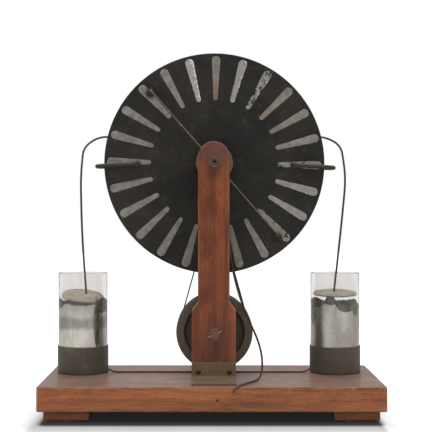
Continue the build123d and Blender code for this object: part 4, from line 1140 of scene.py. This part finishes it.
def ragged_band(centre, radius, floor, top, seed):
    """Foil lining: a thin tube whose upper edge is top + a ripple of the angle; its lower edge is flat."""
    columns, rows = 256, 24
    angle = all_round(columns)[None]
    t = np.linspace(0, 1, rows)[:, None]
    height = top + FOIL_RAGGED * ripple(6 * np.cos(angle), 6 * np.sin(angle), seed, 5)
    outer = floor + (height - floor) * t
    z = np.vstack([outer, outer[::-1]])
    uneven = FOIL_WAVE * ripple(np.cos(angle) * 6 + z * 0.08, np.sin(angle) * 6, seed + 1)
    r = np.vstack([radius + 0 * outer, radius - FOIL_SHEET + 0 * outer]) + uneven
    return around(centre, r, angle + 0 * r, z), quads(2 * rows, columns, wrap_rows=True)


def flap_patch(centre, radius, middle_angle, half_angle, low, high, seed):
    """Patch of loose foil on a jar's wall, in angle and height, with wavy edges all round."""
    rows, columns = 21, 31
    v, u = np.meshgrid(np.linspace(-1, 1, rows), np.linspace(-1, 1, columns), indexing="ij")
    squeeze = np.sqrt(np.clip(1 - 0.85 * np.abs(u) ** 5, 0, 1))
    pinch = np.sqrt(np.clip(1 - 0.7 * np.abs(v) ** 6, 0, 1))
    angle = np.radians(middle_angle - 90 + half_angle * u * pinch * (1 + 0.18 * ripple(v * 3, u, seed)))
    z = (high + low) / 2 + (high - low) / 2 * v * squeeze * (1 + 0.34 * ripple(u * 8, v, seed + 2, 5))
    r = radius + FOIL_WAVE * ripple(u * 3, v * 3, seed + 4)
    return around(centre, r, angle, BASE_TOP / MM + z), quads(rows, columns, wrap_columns=False)


def lid_surface(centre, radius, dome, tilts, seed):
    """Round lid: a profile of half thickness h, domed by d(1 - (r/R)^2) and softly bent at its rim, then
    turned about Y and X by the two tilts."""
    t, half = np.linspace(0, 1, 14), LID_SHEET / 2
    top = np.stack([radius * t, half + dome * (1 - t ** 2)], 1)
    low = np.stack([radius * t[::-1], -half + dome * (1 - t[::-1] ** 2)], 1)
    rim = [(radius - 0.5, half), (radius - 0.1, 0.7 * half), (radius, 0.4 * half), (radius, 0),
           (radius, -0.4 * half), (radius - 0.1, -0.7 * half), (radius - 0.5, -half)]
    points, faces = turned(np.vstack([top[:-1], rim, low[1:]]), (0, 0, 0), SMALL_SEGMENTS, "Z")
    points[:, 2] += dome * 0.25 * ripple(points[:, 0] / 9, points[:, 1] / 9, seed)
    a, b = np.radians(tilts)
    x = points[:, 0] * math.cos(a) + points[:, 2] * math.sin(a)
    z = points[:, 2] * math.cos(a) - points[:, 0] * math.sin(a)
    y = points[:, 1] * math.cos(b) - z * math.sin(b)
    z = z * math.cos(b) + points[:, 1] * math.sin(b)
    return np.stack([x, y, z], 1) + centre, faces


def cup_dents(angle, height):
    """How far the tin cup's wall is pushed in or out."""
    return -0.25 - 0.2 * ripple(np.cos(angle) * 4 + height * 0.05, np.sin(angle) * 4, 5.0)


for seed, side in enumerate(("left", "right")):
    low, high, half = corners(f"{side}_jar_glass")
    centre = middle(f"{side}_jar_glass") / MM
    upright = (centre.x, centre.y, 0)
    glass = beaker(half[0], high[2] - low[2], GLASS_WALL, GLASS_FLOOR, [0, 3.0, 1.2, 1.2, 3.0, 0], 8)
    glass[:, 1] += low[2]
    piece(f"{side}_glass_jar", turned(glass, upright, LARGE_SEGMENTS, "Z"), "glass", "root",
          f"{side}_jar_glass")
    foil_radius = half[0] - GLASS_WALL + FOIL_SUNK
    foil_floor = corners(f"{side}_jar_foil")[0][2]
    piece(f"{side}_foil_lining",
          ragged_band(centre, foil_radius, foil_floor, BASE_TOP / MM + FOIL_TOP[side], 2.0 + seed),
          "jar foil", "root", f"{side}_jar_foil")
    flaps = [flap_patch(centre, foil_radius + FLAP_GAP, *flap, 3.0 * seed + number)
             for number, flap in enumerate(FLAPS[side])]
    thicken(piece(f"{side}_loose_foil", joined(flaps), "dull foil", "root", weld=False), FLAP_SHEET)
    low, high, half = corners(f"{side}_jar_cup")
    cup = beaker(half[0], high[2] - low[2], CUP_SHEET, CUP_SHEET, [0, 1.6, 0.4, 0.4, 1.0, 0], 6)
    # The tall walls get rows of points between their ends, for the dents.
    cup = np.concatenate([np.linspace(a, b, 5, endpoint=False) if abs(b[1] - a[1]) > 5 else a[None]
                          for a, b in zip(cup, np.vstack([cup[1:], cup[-1:]]))])
    cup[:, 1] += low[2]
    piece(f"{side}_tin_cup", turned(cup, upright, LARGE_SEGMENTS, "Z", cup_dents), "cup", "root",
          f"{side}_jar_cup")
    low, high, half = corners(f"{side}_jar_lid")
    piece(f"{side}_jar_stopper",
          lid_surface((low + high) / 2, half[1] - LID_INSET, LID_DOME[side], LID_TILT[side], 4.0 + seed),
          "lid", "root", f"{side}_jar_lid")

# ---- crank grip ----
GRIP_BORE, GRIP_COLLAR, GRIP_NECK = 3.3, 5.2, 6.0
GRIP_SWELL = 0.62                # where along the grip it is thickest
GRIP_END, GRIP_STEP = 0.985, 1.2         # from there on it is thinner by the step
low, high, half = corners("crank_grip")
t = np.linspace(0, 1, 28)
rising = 0.5 - 0.5 * np.cos(math.pi * np.clip(t / GRIP_SWELL, 0, 1))
falling = np.cos(QUARTER * np.clip((t - GRIP_SWELL) / (1 - GRIP_SWELL), 0, 1)) ** 0.6
belly = GRIP_NECK + (half[0] - GRIP_NECK) * np.where(t < GRIP_SWELL, rising, falling)
belly = belly - GRIP_STEP * (t > GRIP_END)
profile = np.vstack([[(GRIP_BORE, low[1]), (GRIP_COLLAR, low[1])],
                     np.stack([belly, t * (high[1] - low[1]) + low[1]], 1), [(GRIP_BORE, high[1])]])
piece("turned_crank_grip",
      turned(profile, ((low[0] + high[0]) / 2, 0, (low[2] + high[2]) / 2), SMALL_SEGMENTS, ring=True),
      "grip wood", "crank_handle", "crank_grip")
